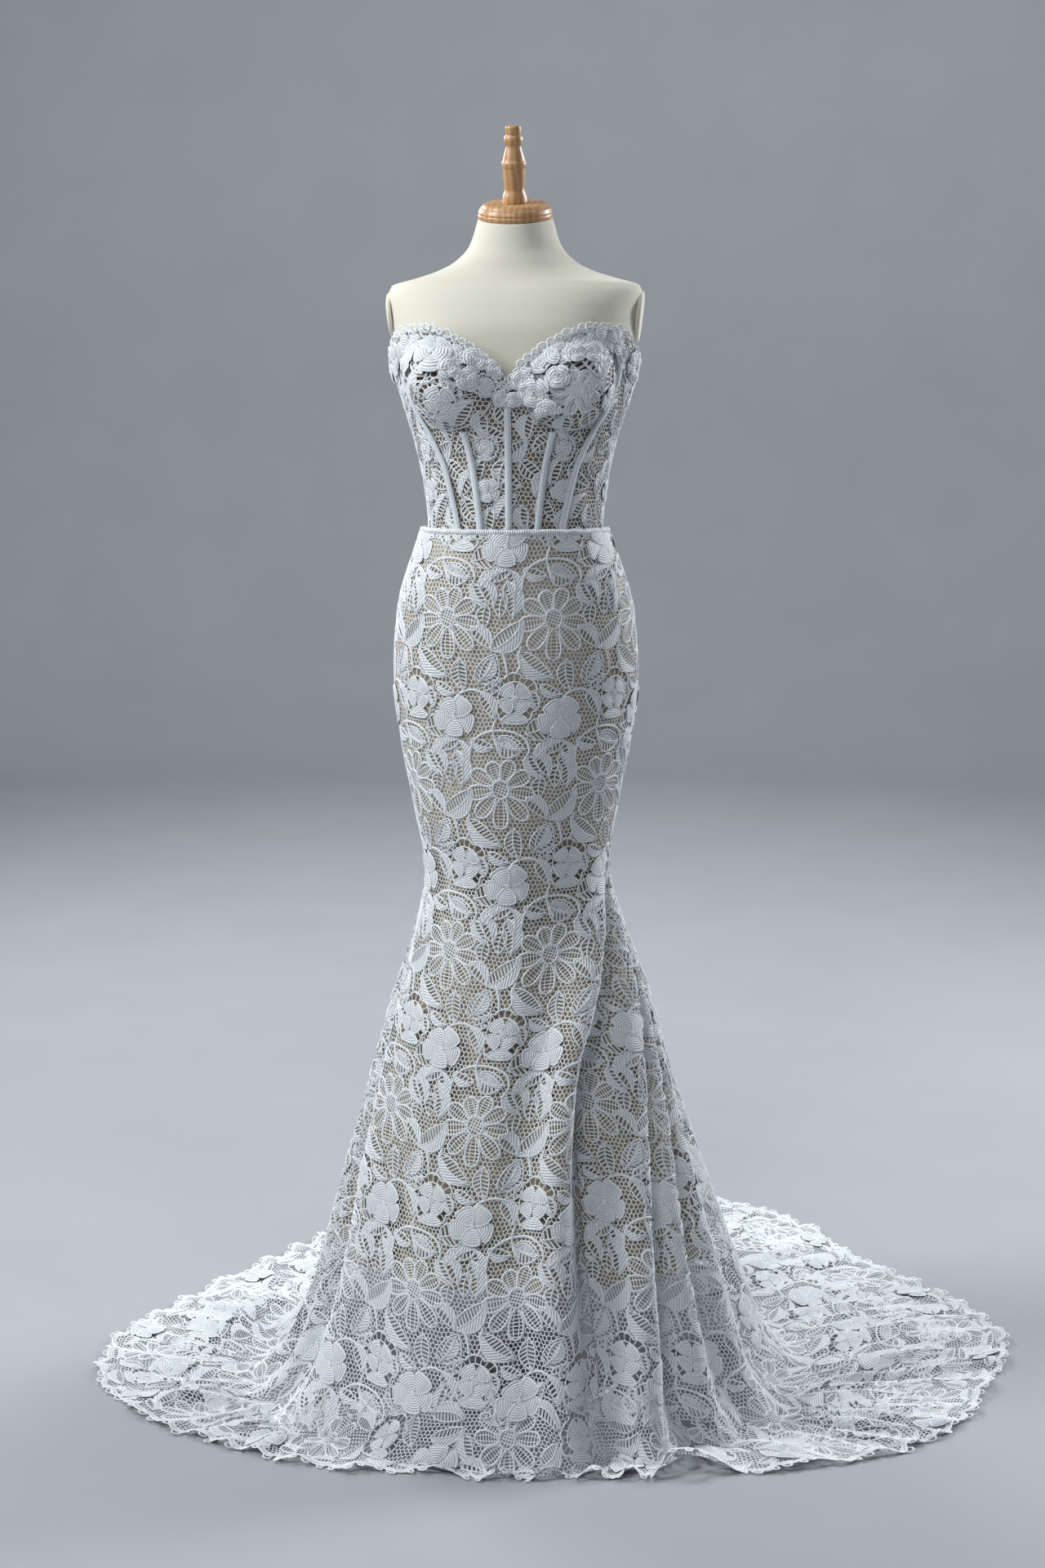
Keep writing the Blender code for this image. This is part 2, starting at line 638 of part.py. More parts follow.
def add_bodice_lace(finish):
    def over_seam(angle):
        return cup_seam(angle) + SEAM_GAP

    front = range(-INNER_SEAM, INNER_SEAM + 1)
    grids = bodice_grids(front, rows_to(cup_seam), LACE_LAYER, worked_lace)
    Wall(grids).build("bodice_lace_front", finish)
    pieces = (
        ("side_front", range(INNER_SEAM, OUTER_SEAM + 1), rows_to(cup_seam), None),
        ("cup", CUP_LINES, rows_between(over_seam, top_edge, 6), cup_lift),
        ("side", SIDE_LINES, rows_over(3), None),
        ("back", range(SIDE_SEAM, CENTRE_SEAM + 1), rows_over(2), None),
    )
    for name, lines, rows, lift in pieces:
        grids = bodice_grids(lines, rows, LACE_LAYER, worked_lace, lift)
        add_pair("bodice_lace_" + name, grids, finish)


def bone_grids(angle_at, high):
    """A channel sewn over a seam: flat inside, rounded outside."""
    section = ((-0.5, 0.0), (-0.34, 1.0), (0.34, 1.0), (0.5, 0.0))
    middle = LOW_ROWS[-1]
    heights = (WAIST + 0.004,) + LOW_ROWS[1:] + ((middle + high) / 2, high)
    inner = np.zeros((len(heights), len(section), 3))
    outer = np.zeros_like(inner)
    for row, height in enumerate(heights):
        angle = angle_at(height)
        normal = worn_normal(angle, height)
        side = unit(worn_point(angle + 0.5, height) - worn_point(angle - 0.5, height))
        for k, (across, up) in enumerate(section):
            place = worn_point(angle, height) + side * across * BONE_WIDTH + normal * ON_LACE
            inner[row, k] = place
            outer[row, k] = place + normal * (BONE_EDGE + (BONE_DEPTH - BONE_EDGE) * up)
    return inner, outer


def add_bones(finish):
    centre = bone_grids(lambda _height: 0.0, cup_seam(0) - 0.010)
    Wall(centre).build("bone_channel_centre", finish)
    for name, line, high in (("inner", INNER_BONE, 1.258), ("outer", OUTER_BONE, 1.286)):
        grids = bone_grids(lambda height: angle_of(line, height), high)
        add_pair("bone_channel_" + name, grids, finish)


def petals(angle, height):
    """How far the flowers sewn along the neckline stand out of their backing."""
    most = 0.0
    for flower in NECKLINE_FLOWERS:
        across = math.radians(abs(angle) - flower.angle) * 0.15
        up = height - (top_edge(flower.angle) - flower.drop)
        reach = math.hypot(across, up) / flower.radius
        lobes = 0.7 + 0.3 * math.cos(5 * math.atan2(up, across))
        most = max(most, PETAL_HEIGHT * lobes * max(0.0, 1 - reach * reach))
    return most


def add_neckline_flowers(finish):
    def depth(angle, height):
        return BACKING + petals(angle, height)

    def above(angle):
        return top_edge(angle) + 0.003 + 0.005 * abs(math.sin(angle * 0.17))

    def below(angle):
        return top_edge(angle) - line_at(FLOWER_REACH, angle) + 0.004 * math.sin(angle * 0.23)

    pieces = (
        ("cup", np.append(np.arange(1.0, 8.0, 0.5) - 0.3, 7.9), 4, CUP_FLOWER_LAYER, cup_lift),
        ("side", np.arange(OUTER_SEAM + 0.5, SIDE_SEAM + 0.1, 0.5), 3, FLOWER_LAYER, None),
        ("back", np.arange(SIDE_SEAM, CENTRE_SEAM - 0.4, 0.5), 2, FLOWER_LAYER, None),
    )
    for name, lines, steps, layer, lift in pieces:
        grids = bodice_grids(lines, rows_between(below, above, steps), layer, depth, lift)
        add_pair("neckline_flowers_" + name, grids, finish)


# The skirt


def fold_angle(fold, height):
    angles = (fold.floor, fold.shin, fold.calf, fold.knee, fold.waist)
    return along(FOLD_HEIGHTS, angles, height)


def fold_out(fold, height):
    return along(FOLD_HEIGHTS, (fold.out_floor, fold.out_shin, fold.out_calf, 0.0, 0.0), height)


def eased(share):
    """A share eased at both ends, so that a fold's crest and valley are rounded."""
    return share - 0.09 * math.sin(2 * math.pi * share)


def between(column, left, right):
    return (1 - column.share) * left + column.share * right


def panel_columns(number):
    """The columns of a panel, from its first edge to the edge that it shares with the
    next one round."""
    panel = PANELS[number]
    after = PANELS[number + 1].folds[0] if number + 1 < len(PANELS) else CENTRE_BACK
    folds = panel.folds + (after,)
    columns = [Column(left, right, step / panel.columns)
               for left, right in zip(folds, folds[1:]) for step in range(panel.columns)]
    return columns + [Column(folds[-2], folds[-1], 1.0)]


def hem_angle(column):
    return between(column, column.left.hem, column.right.hem)


def hem_point(angle, scallop=0.0):
    reach = along([r.angle for r in HEM], [r.radius for r in HEM], angle) + scallop
    turn = math.radians(angle)
    return np.array((reach * math.sin(turn), -reach * math.cos(turn), 0.0))


def skirt_point(column, height):
    angle = between(column, fold_angle(column.left, height), fold_angle(column.right, height))
    ease = eased(column.share)
    out = (1 - ease) * fold_out(column.left, height) + ease * fold_out(column.right, height)
    return section_point(SKIRT, angle, height, out)


def train_point(column, part):
    """A point of the cloth that lies on the floor, part of the way out to the hem. The
    crests of the folds run on as low ripples."""
    ground = skirt_point(column, 0.0)
    hem = hem_point(hem_angle(column))
    ease = eased(column.share)
    ripple = max(0.0, (1 - ease) * column.left.out_floor + ease * column.right.out_floor)
    room = min(1.0, np.linalg.norm(hem - ground) / RIPPLE_ROOM)
    place = ground + part * (hem - ground)
    place[2] = ripple * room * math.sin(math.pi * part)
    return place


def skirt_ring(columns, edges):
    """The base points of the whole lace skirt, row by row. Above the knee the godets'
    columns lie on the side seams, and at the knee they open by a little."""
    ring = [[skirt_point(column, height) for column in columns] for height in SKIRT_ROWS]
    ring += [[train_point(column, part) for column in columns] for part in TRAIN_SHARES]
    ring = np.array(ring)
    for side, first, last in ((-1, edges[1], edges[2]), (1, edges[3], edges[4])):
        for index in range(first, last + 1):
            turn = GODET_TOP * (2 * (index - first) / (last - first) - 1)
            ring[KNEE_ROW, index] = section_point(SKIRT, 90 * side + turn, KNEE)
    return ring


def next_apart(row, start, step):
    """The next point round a row that doesn't coincide with the one at start."""
    index = (start + step) % len(row)
    while np.linalg.norm(row[index] - row[start]) < 1e-5:
        index = (index + step) % len(row)
    return row[index]


def ring_normals(ring):
    normals = np.zeros_like(ring)
    rows, count = ring.shape[:2]
    for row in range(rows):
        for column in range(count):
            across = next_apart(ring[row], column, 1) - next_apart(ring[row], column, -1)
            down = ring[min(row + 1, rows - 1), column] - ring[max(row - 1, 0), column]
            normals[row, column] = unit(np.cross(down, across))
    return normals


def lace_gaps(grid, number):
    """The cells with a gap of the lace, one to a repeat, in a half-drop. Cells too small
    to hold one have none."""
    gaps = []
    rows, columns = grid.shape[:2]
    for row in range(rows - 2):
        for column in range(columns - 1):
            a, b, c, d = (grid[k] for k in cell_corners(row, column))
            least = min(np.linalg.norm(near - far) for near, far in ((a, b), (b, c), (c, d), (d, a)))
            in_repeat = (column + HALF_DROP * row + number) % HOLE_REPEAT == 1
            if least > LEAST_HOLE_CELL and in_repeat:
                gaps.append((row, column))
    return gaps


def scalloped_hem(columns, steps):
    """The hem of a panel, steps to a column, where every other point is the tip of a
    scallop."""
    inner = []
    for index in range((len(columns) - 1) * steps + 1):
        near, step = divmod(index, steps)
        far = min(near + 1, len(columns) - 1)
        share = step / steps
        angle = (1 - share) * hem_angle(columns[near]) + share * hem_angle(columns[far])
        size = SCALLOP * (0.8 + 0.4 * math.sin(2.3 * index))
        inner.append(hem_point(angle, size if step % 2 else 0.0))
    for edge, beside in ((0, 1), (-1, -2)):
        inner[edge] = inner[edge] + unit(inner[beside] - inner[edge]) * SEAM_GAP / 2
    inner = np.array(inner)
    return inner, inner + np.array((0.0, 0.0, LACE))


def add_skirt_lace(finish):
    panels = [panel_columns(number) for number in range(len(PANELS))]
    edges = [0]
    for columns in panels:
        edges.append(edges[-1] + len(columns) - 1)
    around = [column for columns in panels for column in columns[:-1]]
    ring = skirt_ring(around, edges)
    normals = ring_normals(ring)
    for number, panel in enumerate(PANELS):
        span = [index % len(around) for index in range(edges[number], edges[number + 1] + 1)]
        inner = ring[panel.first_row:, span].copy()
        depth = np.full(inner.shape[:2], LACE)
        for row in range(1, inner.shape[0] - 1):
            for column in range(1, inner.shape[1] - 1):
                depth[row, column] += RAISED_FLOWER * ((column + HALF_DROP * row) % 4 == 3)
        outer = inner + normals[panel.first_row:, span] * depth[..., None]
        for grid in (inner, outer):
            pull_in(grid)
        hem = scalloped_hem(panels[number], panel.hem_steps)
        wall = Wall((inner, outer), hem, panel.hem_steps)
        wall.build(panel.name, finish, lace_gaps(inner, number))


def add_skirt_lining(finish):
    """The lining hangs a little way inside the lace and follows its folds."""
    folds = [fold for panel in PANELS for fold in panel.folds] + [CENTRE_BACK]
    even = np.linspace(-180, 180, len(folds))
    outer = np.zeros((len(LINING_ROWS), len(folds), 3))
    inner = np.zeros_like(outer)
    for row, height in enumerate(LINING_ROWS):
        share = min(max((KNEE - height) / FOLDS_START, 0.0), 1.0)
        margin = CLOSE_LINING + (LOOSE_LINING - CLOSE_LINING) * share
        margin += LINING_TURN_IN * (row == 0)
        for k, fold in enumerate(folds):
            angle = (1 - share) * even[k] + share * fold_angle(fold, height)
            out = fold_out(fold, height) - margin
            outer[row, k] = section_point(SKIRT, angle, height, out)
            inner[row, k] = section_point(SKIRT, angle, height, out - LINING)
    front = len(BACK_LEFT_FOLDS)
    back = len(folds) - 1 - len(BACK_RIGHT_FOLDS)
    pieces = (("skirt_lining_back_left", 0, front), ("skirt_lining_front", front, back),
              ("skirt_lining_back_right", back, len(folds) - 1))
    for name, first, last in pieces:
        grids = [grid[:, first:last + 1].copy() for grid in (inner, outer)]
        for grid in grids:
            pull_in(grid)
        Wall(grids).build(name, finish)


# The closing at the centre back


def on_bodice_back(height):
    normal = worn_normal(180.0, height)
    return worn_point(180.0, height) + normal * ON_LACE, normal


def on_skirt_back(height):
    step = 0.004
    up = section_point(SKIRT, 180, height + step) - section_point(SKIRT, 180, height - step)
    normal = unit(np.cross(np.array((-1.0, 0.0, 0.0)), up))
    off = LACE + PLACKET_GAP
    return section_point(SKIRT, 180, height) + normal * off, normal


def add_closing(strip_finish, button_finish):
    """A placket on the bodice and one on the skirt, with covered buttons."""
    bodice_heights = (WAIST + 0.004,) + LOW_ROWS[1:] + (1.260, top_edge(180) - 0.004)
    skirt_heights = (0.960, 1.040, 1.100, LINING_TOP)
    count = 0
    for name, surface, heights in (("bodice_placket", on_bodice_back, bodice_heights),
                                   ("skirt_placket", on_skirt_back, skirt_heights)):
        places, normals = (np.array(each) for each in zip(*map(surface, heights)))
        half = np.array((PLACKET_WIDTH / 2, 0.0, 0.0))
        inner = np.stack((places + half, places - half), axis=1)
        outer = inner + PLACKET_DEPTH * normals[:, None]
        Wall((inner, outer)).build(name, strip_finish)
        buttons = int((heights[-1] - heights[0]) / BUTTON_PITCH)
        for button in range(buttons):
            height = heights[0] + (button + 0.5) * (heights[-1] - heights[0]) / buttons
            place = np.array([np.interp(height, heights, each) for each in places.T])
            normal = unit(np.array([np.interp(height, heights, each) for each in normals.T]))
            count += 1
            place = place + normal * (PLACKET_DEPTH + BUTTON_SHANK)
            add_button(f"button_{count:02d}", place, normal, button_finish)


def add_button(name, place, normal, finish):
    profile = ((0.6 * BUTTON_RADIUS, 0.0), (BUTTON_RADIUS, 0.0018), (0.6 * BUTTON_RADIUS, 0.0044))
    turn = Vector(normal).to_track_quat("Z", "Y").to_matrix().to_4x4()
    turned(name, profile, finish, 8, Matrix.Translation(place) @ turn)


def main():
    clear_scene()
    canvas = material("canvas", (0.80, 0.76, 0.66), 0.85)
    wood = material("wood", (0.62, 0.38, 0.18), 0.45)
    metal = material("metal", (0.55, 0.55, 0.55), 0.40, 1.0)
    lining = material("lining", (0.72, 0.60, 0.46), 0.60)
    lace = material("lace", (0.90, 0.92, 0.93), 0.75)
    satin = material("satin", (0.86, 0.88, 0.90), 0.40)
    applique = material("applique", (0.94, 0.95, 0.96), 0.70)
    add_form(canvas)
    add_arm_plates(canvas)
    add_cap_and_finial(wood)
    add_stand(metal)
    add_bodice_lining(lining)
    add_bodice_lace(lace)
    add_bones(satin)
    add_neckline_flowers(applique)
    add_skirt_lining(lining)
    add_skirt_lace(lace)
    add_closing(satin, applique)


main()
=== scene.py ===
"""How the strapless lace wedding dress looks, on its limbless dress form.

Metres, +Z up. The front of the dress looks along -Y. An angle round the dress is in
degrees from the front, positive towards +X. The lace is worked flat, in millimetres,
and then laid over each panel by its distance across (u) and its distance down (s).
"""

import math
from collections import namedtuple

import bpy
import numpy as np
from mathutils import Matrix, Vector


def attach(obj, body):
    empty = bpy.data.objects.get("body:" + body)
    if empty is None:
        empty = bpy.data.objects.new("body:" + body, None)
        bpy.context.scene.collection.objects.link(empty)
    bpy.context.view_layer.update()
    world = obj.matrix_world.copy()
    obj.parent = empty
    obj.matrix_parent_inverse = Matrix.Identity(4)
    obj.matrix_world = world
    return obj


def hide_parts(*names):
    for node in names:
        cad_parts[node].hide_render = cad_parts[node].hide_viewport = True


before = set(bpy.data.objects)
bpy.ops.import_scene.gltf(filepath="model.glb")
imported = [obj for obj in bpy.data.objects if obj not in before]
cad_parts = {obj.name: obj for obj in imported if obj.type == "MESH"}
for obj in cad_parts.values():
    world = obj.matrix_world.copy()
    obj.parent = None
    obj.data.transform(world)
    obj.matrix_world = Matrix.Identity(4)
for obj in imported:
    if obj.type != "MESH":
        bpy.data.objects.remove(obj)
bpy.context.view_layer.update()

MM = 0.001
FULL_TURN = 2 * math.pi

# Sizes of the cloth, as the solids have them
LACE = 0.0016
LINING = 0.0010
BONE_WIDTH, BONE_DEPTH = 0.0088, 0.0026
PLACKET_WIDTH, PLACKET_DEPTH, PLACKET_GAP = 0.022, 0.0015, 0.0010
WORKED_FLOWER = 0.0008
LINING_DROP = 0.004
LINING_LAYER = 0.0032
# The air between the lining and the lace, and between the lace and what lies on it
AIR_UNDER_LACE, AIR_ON_LACE = 0.0012, 0.0006
LACE_LAYER = LINING_LAYER + LINING + AIR_UNDER_LACE
ON_LACE = LACE_LAYER + LACE + WORKED_FLOWER + AIR_ON_LACE

WAIST = 1.140
BODICE_FOOT = 1.133
KNEE = 0.780
LINING_HEM, LINING_TOP = 0.200, 1.136
NECK_TOP = 1.524
# The neck leans forwards from its foot on
NECK_FOOT, NECK_LEAN = 1.470, math.radians(15.0)
# The rows of the form: from, to and how many
FORM_ROWS = ((0.800, 1.400, 61), (1.405, NECK_TOP, 60))
# The canvas is mapped as if the form were as round as this
FORM_ROUND = 0.13
ARM_PLATE, PLATE_SIZE, PLATE_LEAN = (0.1541, 0.004, 1.402), (0.031, 0.038), math.radians(7.0)
CAP_HEIGHT = 0.0185
SEAM_GAP = 0.0004

# Sections of the form and of the lace skirt, in millimetres but for square: 2 is an
# ellipse, and more is squarer
Section = namedtuple("Section", "height half_width front back lean square",
                     defaults=(0.0, 2.0))
FORM, SKIRT = ([Section(*(size / 1000 for size in row[:5]), *row[5:]) for row in rows]
               for rows in ((
    (800, 125, 100, 103), (870, 139, 105, 112), (960, 148, 107, 118), (1040, 140, 101, 109),
    (1100, 119, 93, 92), (1140, 105, 87, 82.5), (1200, 111, 90, 84.5), (1260, 125, 97, 91.5),
    (1300, 137, 104, 97, 0, 2.1), (1340, 146, 109, 100, 0, 2.2),
    (1380, 152.5, 107, 102, 0, 2.4), (1410, 156.5, 95, 100, 0, 2.4),
    (1430, 160, 82, 93, 0, 2.3), (1441, 156, 72, 86, 0, 2.2), (1449, 130, 66, 80),
    (1458, 101, 61, 74), (1470, 77, 57, 67), (1490, 58, 52, 57), (1524, 46.5, 46.5, 46.5),
), (
    (0, 360, 296, 510, 6), (50, 314, 279, 448, 10), (130, 280, 254, 395, 14),
    (230, 246, 226, 330, 12), (330, 217, 200, 273, 8), (430, 190, 171, 219, 6),
    (530, 164, 143, 168, 7), (620, 136, 117, 124, 5), (700, 119, 107, 106, 2),
    (780, 131, 110, 111), (870, 148, 114.5, 121), (960, 157, 115, 127), (1040, 150, 110.5, 118),
    (1100, 132, 105, 103), (1140, 116.5, 99.5, 93.5),
)))
# Where the hem lies: angles and distances from the form's middle
HEM = (
    (-180, 0.800), (-166, 0.765), (-152, 0.655), (-138, 0.560), (-123, 0.535), (-113, 0.533),
    (-104, 0.550), (-95, 0.565), (-84, 0.560), (-75, 0.526), (-66, 0.489), (-54, 0.428),
    (-34, 0.363), (-12, 0.312), (15, 0.316), (41, 0.376), (57, 0.458), (69, 0.540),
    (80, 0.595), (91, 0.630), (98, 0.668), (105, 0.688), (113, 0.686), (121, 0.668),
    (133, 0.658), (142, 0.700), (151, 0.733), (159, 0.745), (170, 0.785), (180, 0.800),
)

# A fold line runs from the waist to the hem. Its angles are given at the waist, at the
# heights FOLD_HEIGHTS and at the hem, and out_* is how many millimetres it stands out.
Fold = namedtuple("Fold", "waist knee calf shin floor hem out_calf out_shin out_floor")
FOLD_HEIGHTS = (0.000, 0.245, 0.455, 0.780, 1.140)
# The panels of the lace skirt in order round it, each with the fold that its pattern is
# centred on, counted from its first
Panel = namedtuple("Panel", "name middle from_knee folds")
PANELS = [Panel(*start, [Fold(*row) for row in rows]) for *start, rows in (
    ("skirt_lace_back_left", 3.0, False, (
        (-180, -180, -180, -180, -180, -180, 10, 12, 10),
        (-162, -160, -157, -157, -160, -165, -10, -14, -10),
        (-145, -143, -139, -138, -141, -149, 10, 15, 14),
        (-127, -126, -121, -119, -122, -130, -10, -14, -10),
        (-109, -108, -105, -102, -103, -112, 9, 13, 12),
    )),
    ("skirt_lace_godet_left", 2.0, True, (
        (-90, -90, -92, -88, -88, -96, -6, -10, -8),
        (-90, -90, -86, -82, -81, -88, 6, 10, 10),
        (-90, -90, -82, -76, -74, -80, -10, -16, -12),
        (-90, -90, -78, -71, -67, -73, 3, 9, 9),
    )),
    # Its last two folds are the deep trough and the crest beside the godet
    ("skirt_lace_front", 3.8, False, (
        (-90, -90, -74, -66, -60, -66, -6, -12, -10),
        (-72, -72, -63, -57, -51, -55, 4, 10, 14),
        (-48, -47, -43, -39, -35, -35, 0, 0, 0),
        (-22, -22, -23, -22, -20, -19, 1, 3, 4),
        (4, 5, -5, -9, -6, -5, 0, 0, 0),
        (32, 33, 9, 2, 4, 5, -9, -4, -2),
        (66, 72, 23, 14, 13, 14, 20, 18, 10),
    )),
    ("skirt_lace_godet_right", 2.5, True, (
        (90, 90, 31, 25, 23, 25, -30, -28, -12),
        (90, 90, 57, 41, 31, 34, 14, 22, 16),
        (90, 90, 65, 49, 41, 45, -15, -22, -12),
        (90, 90, 73, 56, 49, 56, 8, 15, 12),
        (90, 90, 79, 63, 57, 66, -8, -16, -10),
        (90, 90, 86, 72, 66, 78, 6, 12, 12),
    )),
    ("skirt_lace_back_right", 2.0, False, (
        (90, 90, 93, 83, 78, 91, -8, -10, -8),
        (108, 107, 107, 101, 98, 107, 10, 14, 12),
        (126, 124, 122, 119, 118, 124, -10, -14, -10),
        (144, 142, 139, 138, 138, 143, 12, 16, 13),
        (162, 160, 158, 158, 159, 162, -8, -12, -10),
    )),
)]
CENTRE_BACK = Fold(180, 180, 180, 180, 180, 180, 10, 12, 10)
FINE_COLUMNS = 15
ROW_STEP = 0.010
TRAIN_ROWS = 32
# How many rows above and below the floor's edge the bend takes up, and how often it is
# evened out
BEND_ROWS, BEND_ROUNDS = 4, 5
# Slight unevenness, as cloth has, but not on the floor
UNEVEN, OFF_FLOOR = 0.0005, 0.02
# How far from the skirt's foot and from the back seam the train's ripples come to life
RIPPLE_ROOM, SEAM_ROOM = 0.15, 0.060
BROAD_RIPPLE, NARROW_RIPPLE, FLUTTER = 0.008, 0.009, 0.009
CURL_ANGLE, CURL_UP, CURL_IN = 40.0, 0.032, 0.012
# The lining lies close inside the lace, and looser from this far below the knee on
CLOSE_LINING, LOOSE_LINING, FOLDS_START = 0.0009, 0.0085, 0.080
LINING_FOLDS = 0.85
# How rounded the folds' crests and valleys are
ROUND_FOLDS = 0.95
# A cut covers at least this share of its rectangle
LEAST_CUT = 0.31
# Faces of less than this many square metres are left out
LEAST_FACE = 5e-11

# The bodice's edges as angles and heights, and its bones as heights and angles
TOP_EDGE = ((0, 1.306), (5, 1.334), (12, 1.354), (22, 1.371), (36, 1.381), (50, 1.380),
            (62, 1.374), (72, 1.361), (85, 1.348), (100, 1.342), (130, 1.326), (180, 1.306))
CUP_SEAM = ((0, 1.300), (6, 1.296), (12, 1.280), (20, 1.268), (33, 1.262), (44, 1.270),
            (52, 1.288), (60, 1.318))
INNER_BONE = ((1.140, 18.6), (1.220, 22.0), (1.270, 25.0), (1.400, 26.0))
OUTER_BONE = ((1.140, 35.3), (1.220, 43.0), (1.270, 50.5), (1.320, 58.0), (1.400, 60.0))
SIDE_BACK = 104.0
# Lines run up the bodice, numbered from its centre front. The seams are these lines, and
# the columns of its cloths lie this far apart.
INNER_SEAM, OUTER_SEAM, SIDE_SEAM, CENTRE_SEAM = 4, 8, 13, 19
LACE_STEP, LINING_STEP = 0.2, 0.25
BUST, BUST_SPREAD, BUST_HEIGHT = (33.0, 1.316), (18.0, 0.044), 0.022
FORM_BUST = 0.75
CUP_CENTRE, CUP_SPREAD, CUP_HEIGHT = (32.0, 1.308), (27.0, 0.058), 0.009
CUP_STEP = 0.012
CUP_MOTIF, CUP_MOTIF_RADIUS = (29.5, 1.312), 22.0
ROSE_DROP = 0.010
# The flat pattern of the bodice starts at this height and lies this far off the form
FLAT_TOP, FLAT_OFF = 1.400, 0.006
# How far the neckline's band reaches below and above the edge
BAND_BELOW, BAND_ABOVE = 0.084, 0.018
BACK = 180.0
BUTTON_RADIUS, BUTTON_PITCH, BUTTON_SHANK = 0.0055, 0.026, 0.0004
# The skirt's placket ends here, and the bodice's this far short of the bodice's edges
PLACKET_FOOT, PLACKET_MARGIN = 0.960, 0.004

# The lace's repeats, in millimetres, and how many cells of net they hold
REPEAT, DROP = 135.0, 213.0
NET_ACROSS, NET_DOWN = 24, 20
BODICE_REPEAT, BODICE_DROP = 90.0, 117.0
BODICE_SHIFT = (20.0, 96.0)
# The rows of motifs lie on the skirt as the photograph shows them on its front
SKIRT_SHIFT = (60.0, 111.0)
WAIST_TO_KNEE = 363.0
BORDER_REPEAT, BORDER_DEEP = 262.0, 108.0
# How far the mesh and the motifs above the border reach into it
BORDER_OVERLAP, MOTIF_OVERLAP = 3.0, 25.0
# The border's cloth reaches from here above the hem to here past it
BORDER_ROWS, BEYOND_HEM = 0.17, 0.018
SCALLOPS = 7
NET_THREAD = 1.15
NET, CORD, SATIN = 0, 1, 2
DAISY_PETALS = 9
PETAL_SIDES = 12
RIB_PITCH = 2.9


def along(places, values, place):
    """A smooth curve through values at rising places, which never swings past them."""
    places = np.asarray(places, float)
    values = np.asarray(values, float)
    place = np.clip(place, places[0], places[-1])
    rises = np.diff(values) / np.diff(places)
    slopes = np.zeros_like(values)
    slopes[0], slopes[-1] = rises[0], rises[-1]
    before, after = rises[:-1], rises[1:]
    same = before * after > 0
    slopes[1:-1][same] = 2 * before[same] * after[same] / (before[same] + after[same])
    i = np.clip(np.searchsorted(places, place, side="right") - 1, 0, len(places) - 2)
    step = places[i + 1] - places[i]
    t = (place - places[i]) / step
    start = (1 + 2 * t) * (1 - t) ** 2 * values[i] + t * (1 - t) ** 2 * step * slopes[i]
    end = t * t * (3 - 2 * t) * values[i + 1] + t * t * (t - 1) * step * slopes[i + 1]
    return start + end


def section_points(table, angle, height, out=0.0):
    """Points of a sectioned surface at angles and heights, moved out by out."""
    angle, height, out = np.broadcast_arrays(angle, height, out)
    heights, *measures = zip(*table)
    half_width, front, back, lean, square = (along(heights, m, height) for m in measures)
    turn = np.radians(angle)
    across, along_y = np.sin(turn), -np.cos(turn)
    depth = np.where(along_y < 0, front, back)
    power = 2.0 / square
    x = np.copysign(np.abs(across) ** power, across) * (half_width + out) + lean
    y = np.copysign(np.abs(along_y) ** power, along_y) * (depth + out)
    return np.stack((x, y, height), -1)


def unit(vectors):
    length = np.linalg.norm(vectors, axis=-1, keepdims=True)
    return vectors / np.maximum(length, 1e-12)


def angle_of(line, height):
    return np.interp(height, *zip(*line))


def distances(points, axis=0):
    """How far each point of a line or a grid lies from its start, along an axis."""
    steps = np.linalg.norm(np.diff(points, axis=axis), axis=-1)
    return np.concatenate((0 * steps.take([0], axis), np.cumsum(steps, axis=axis)), axis)


def between(at, marks, points):
    """Points of a line at some places along its marks."""
    return np.stack([np.interp(at, marks, column) for column in np.transpose(points)], -1)


def grid_normals(points):
    """Normals of a grid whose rows run down and whose columns run towards +X."""
    normals = np.cross(np.gradient(points, axis=0), np.gradient(points, axis=1))
    thin = np.linalg.norm(normals, axis=-1) < 1e-9
    radial = points * (1, 1, 0)
    normals[thin] = radial[thin]
    return unit(normals)


def smoothed(field, rounds, axis):
    """A field with each value drawn towards its two neighbours along an axis."""
    field = np.moveaxis(field.copy(), axis, 0)
    for _ in range(rounds):
        field[1:-1] = (field[:-2] + 2 * field[1:-1] + field[2:]) / 4
    return np.moveaxis(field, 0, axis)


def grid_faces(rows, columns, closed=False):
    """The four-sided faces of a grid, as corners that go down, across and up."""
    row, column = np.meshgrid(np.arange(rows - 1), np.arange(columns - (not closed)),
                              indexing="ij")
    row, column = row.ravel(), column.ravel()
    beside = (column + 1) % columns
    return np.stack((row * columns + column, (row + 1) * columns + column,
                     (row + 1) * columns + beside, row * columns + beside), 1)


def split(faces):
    """Four-sided faces as triangles."""
    return np.vstack((faces[:, :3], faces[:, [0, 2, 3]]))


def fan(ring, hub):
    """Triangles from a closed ring of corners to the one in its middle."""
    return np.stack((ring, np.roll(ring, -1), np.full(len(ring), hub)), 1)


def areas(points, faces):
    a, b, c = points[faces.T]
    return np.linalg.norm(np.cross(b - a, c - a), axis=1) / 2


# Flat lace


def raised(points, height):
    """Flat points at a height."""
    return np.hstack((points, np.full((len(points), 1), height)))


def sideways(way, width):
    """Half a width to the side of a flat direction."""
    way = unit(way)
    return np.stack((-way[:, 1], way[:, 0]), 1) * width / 2


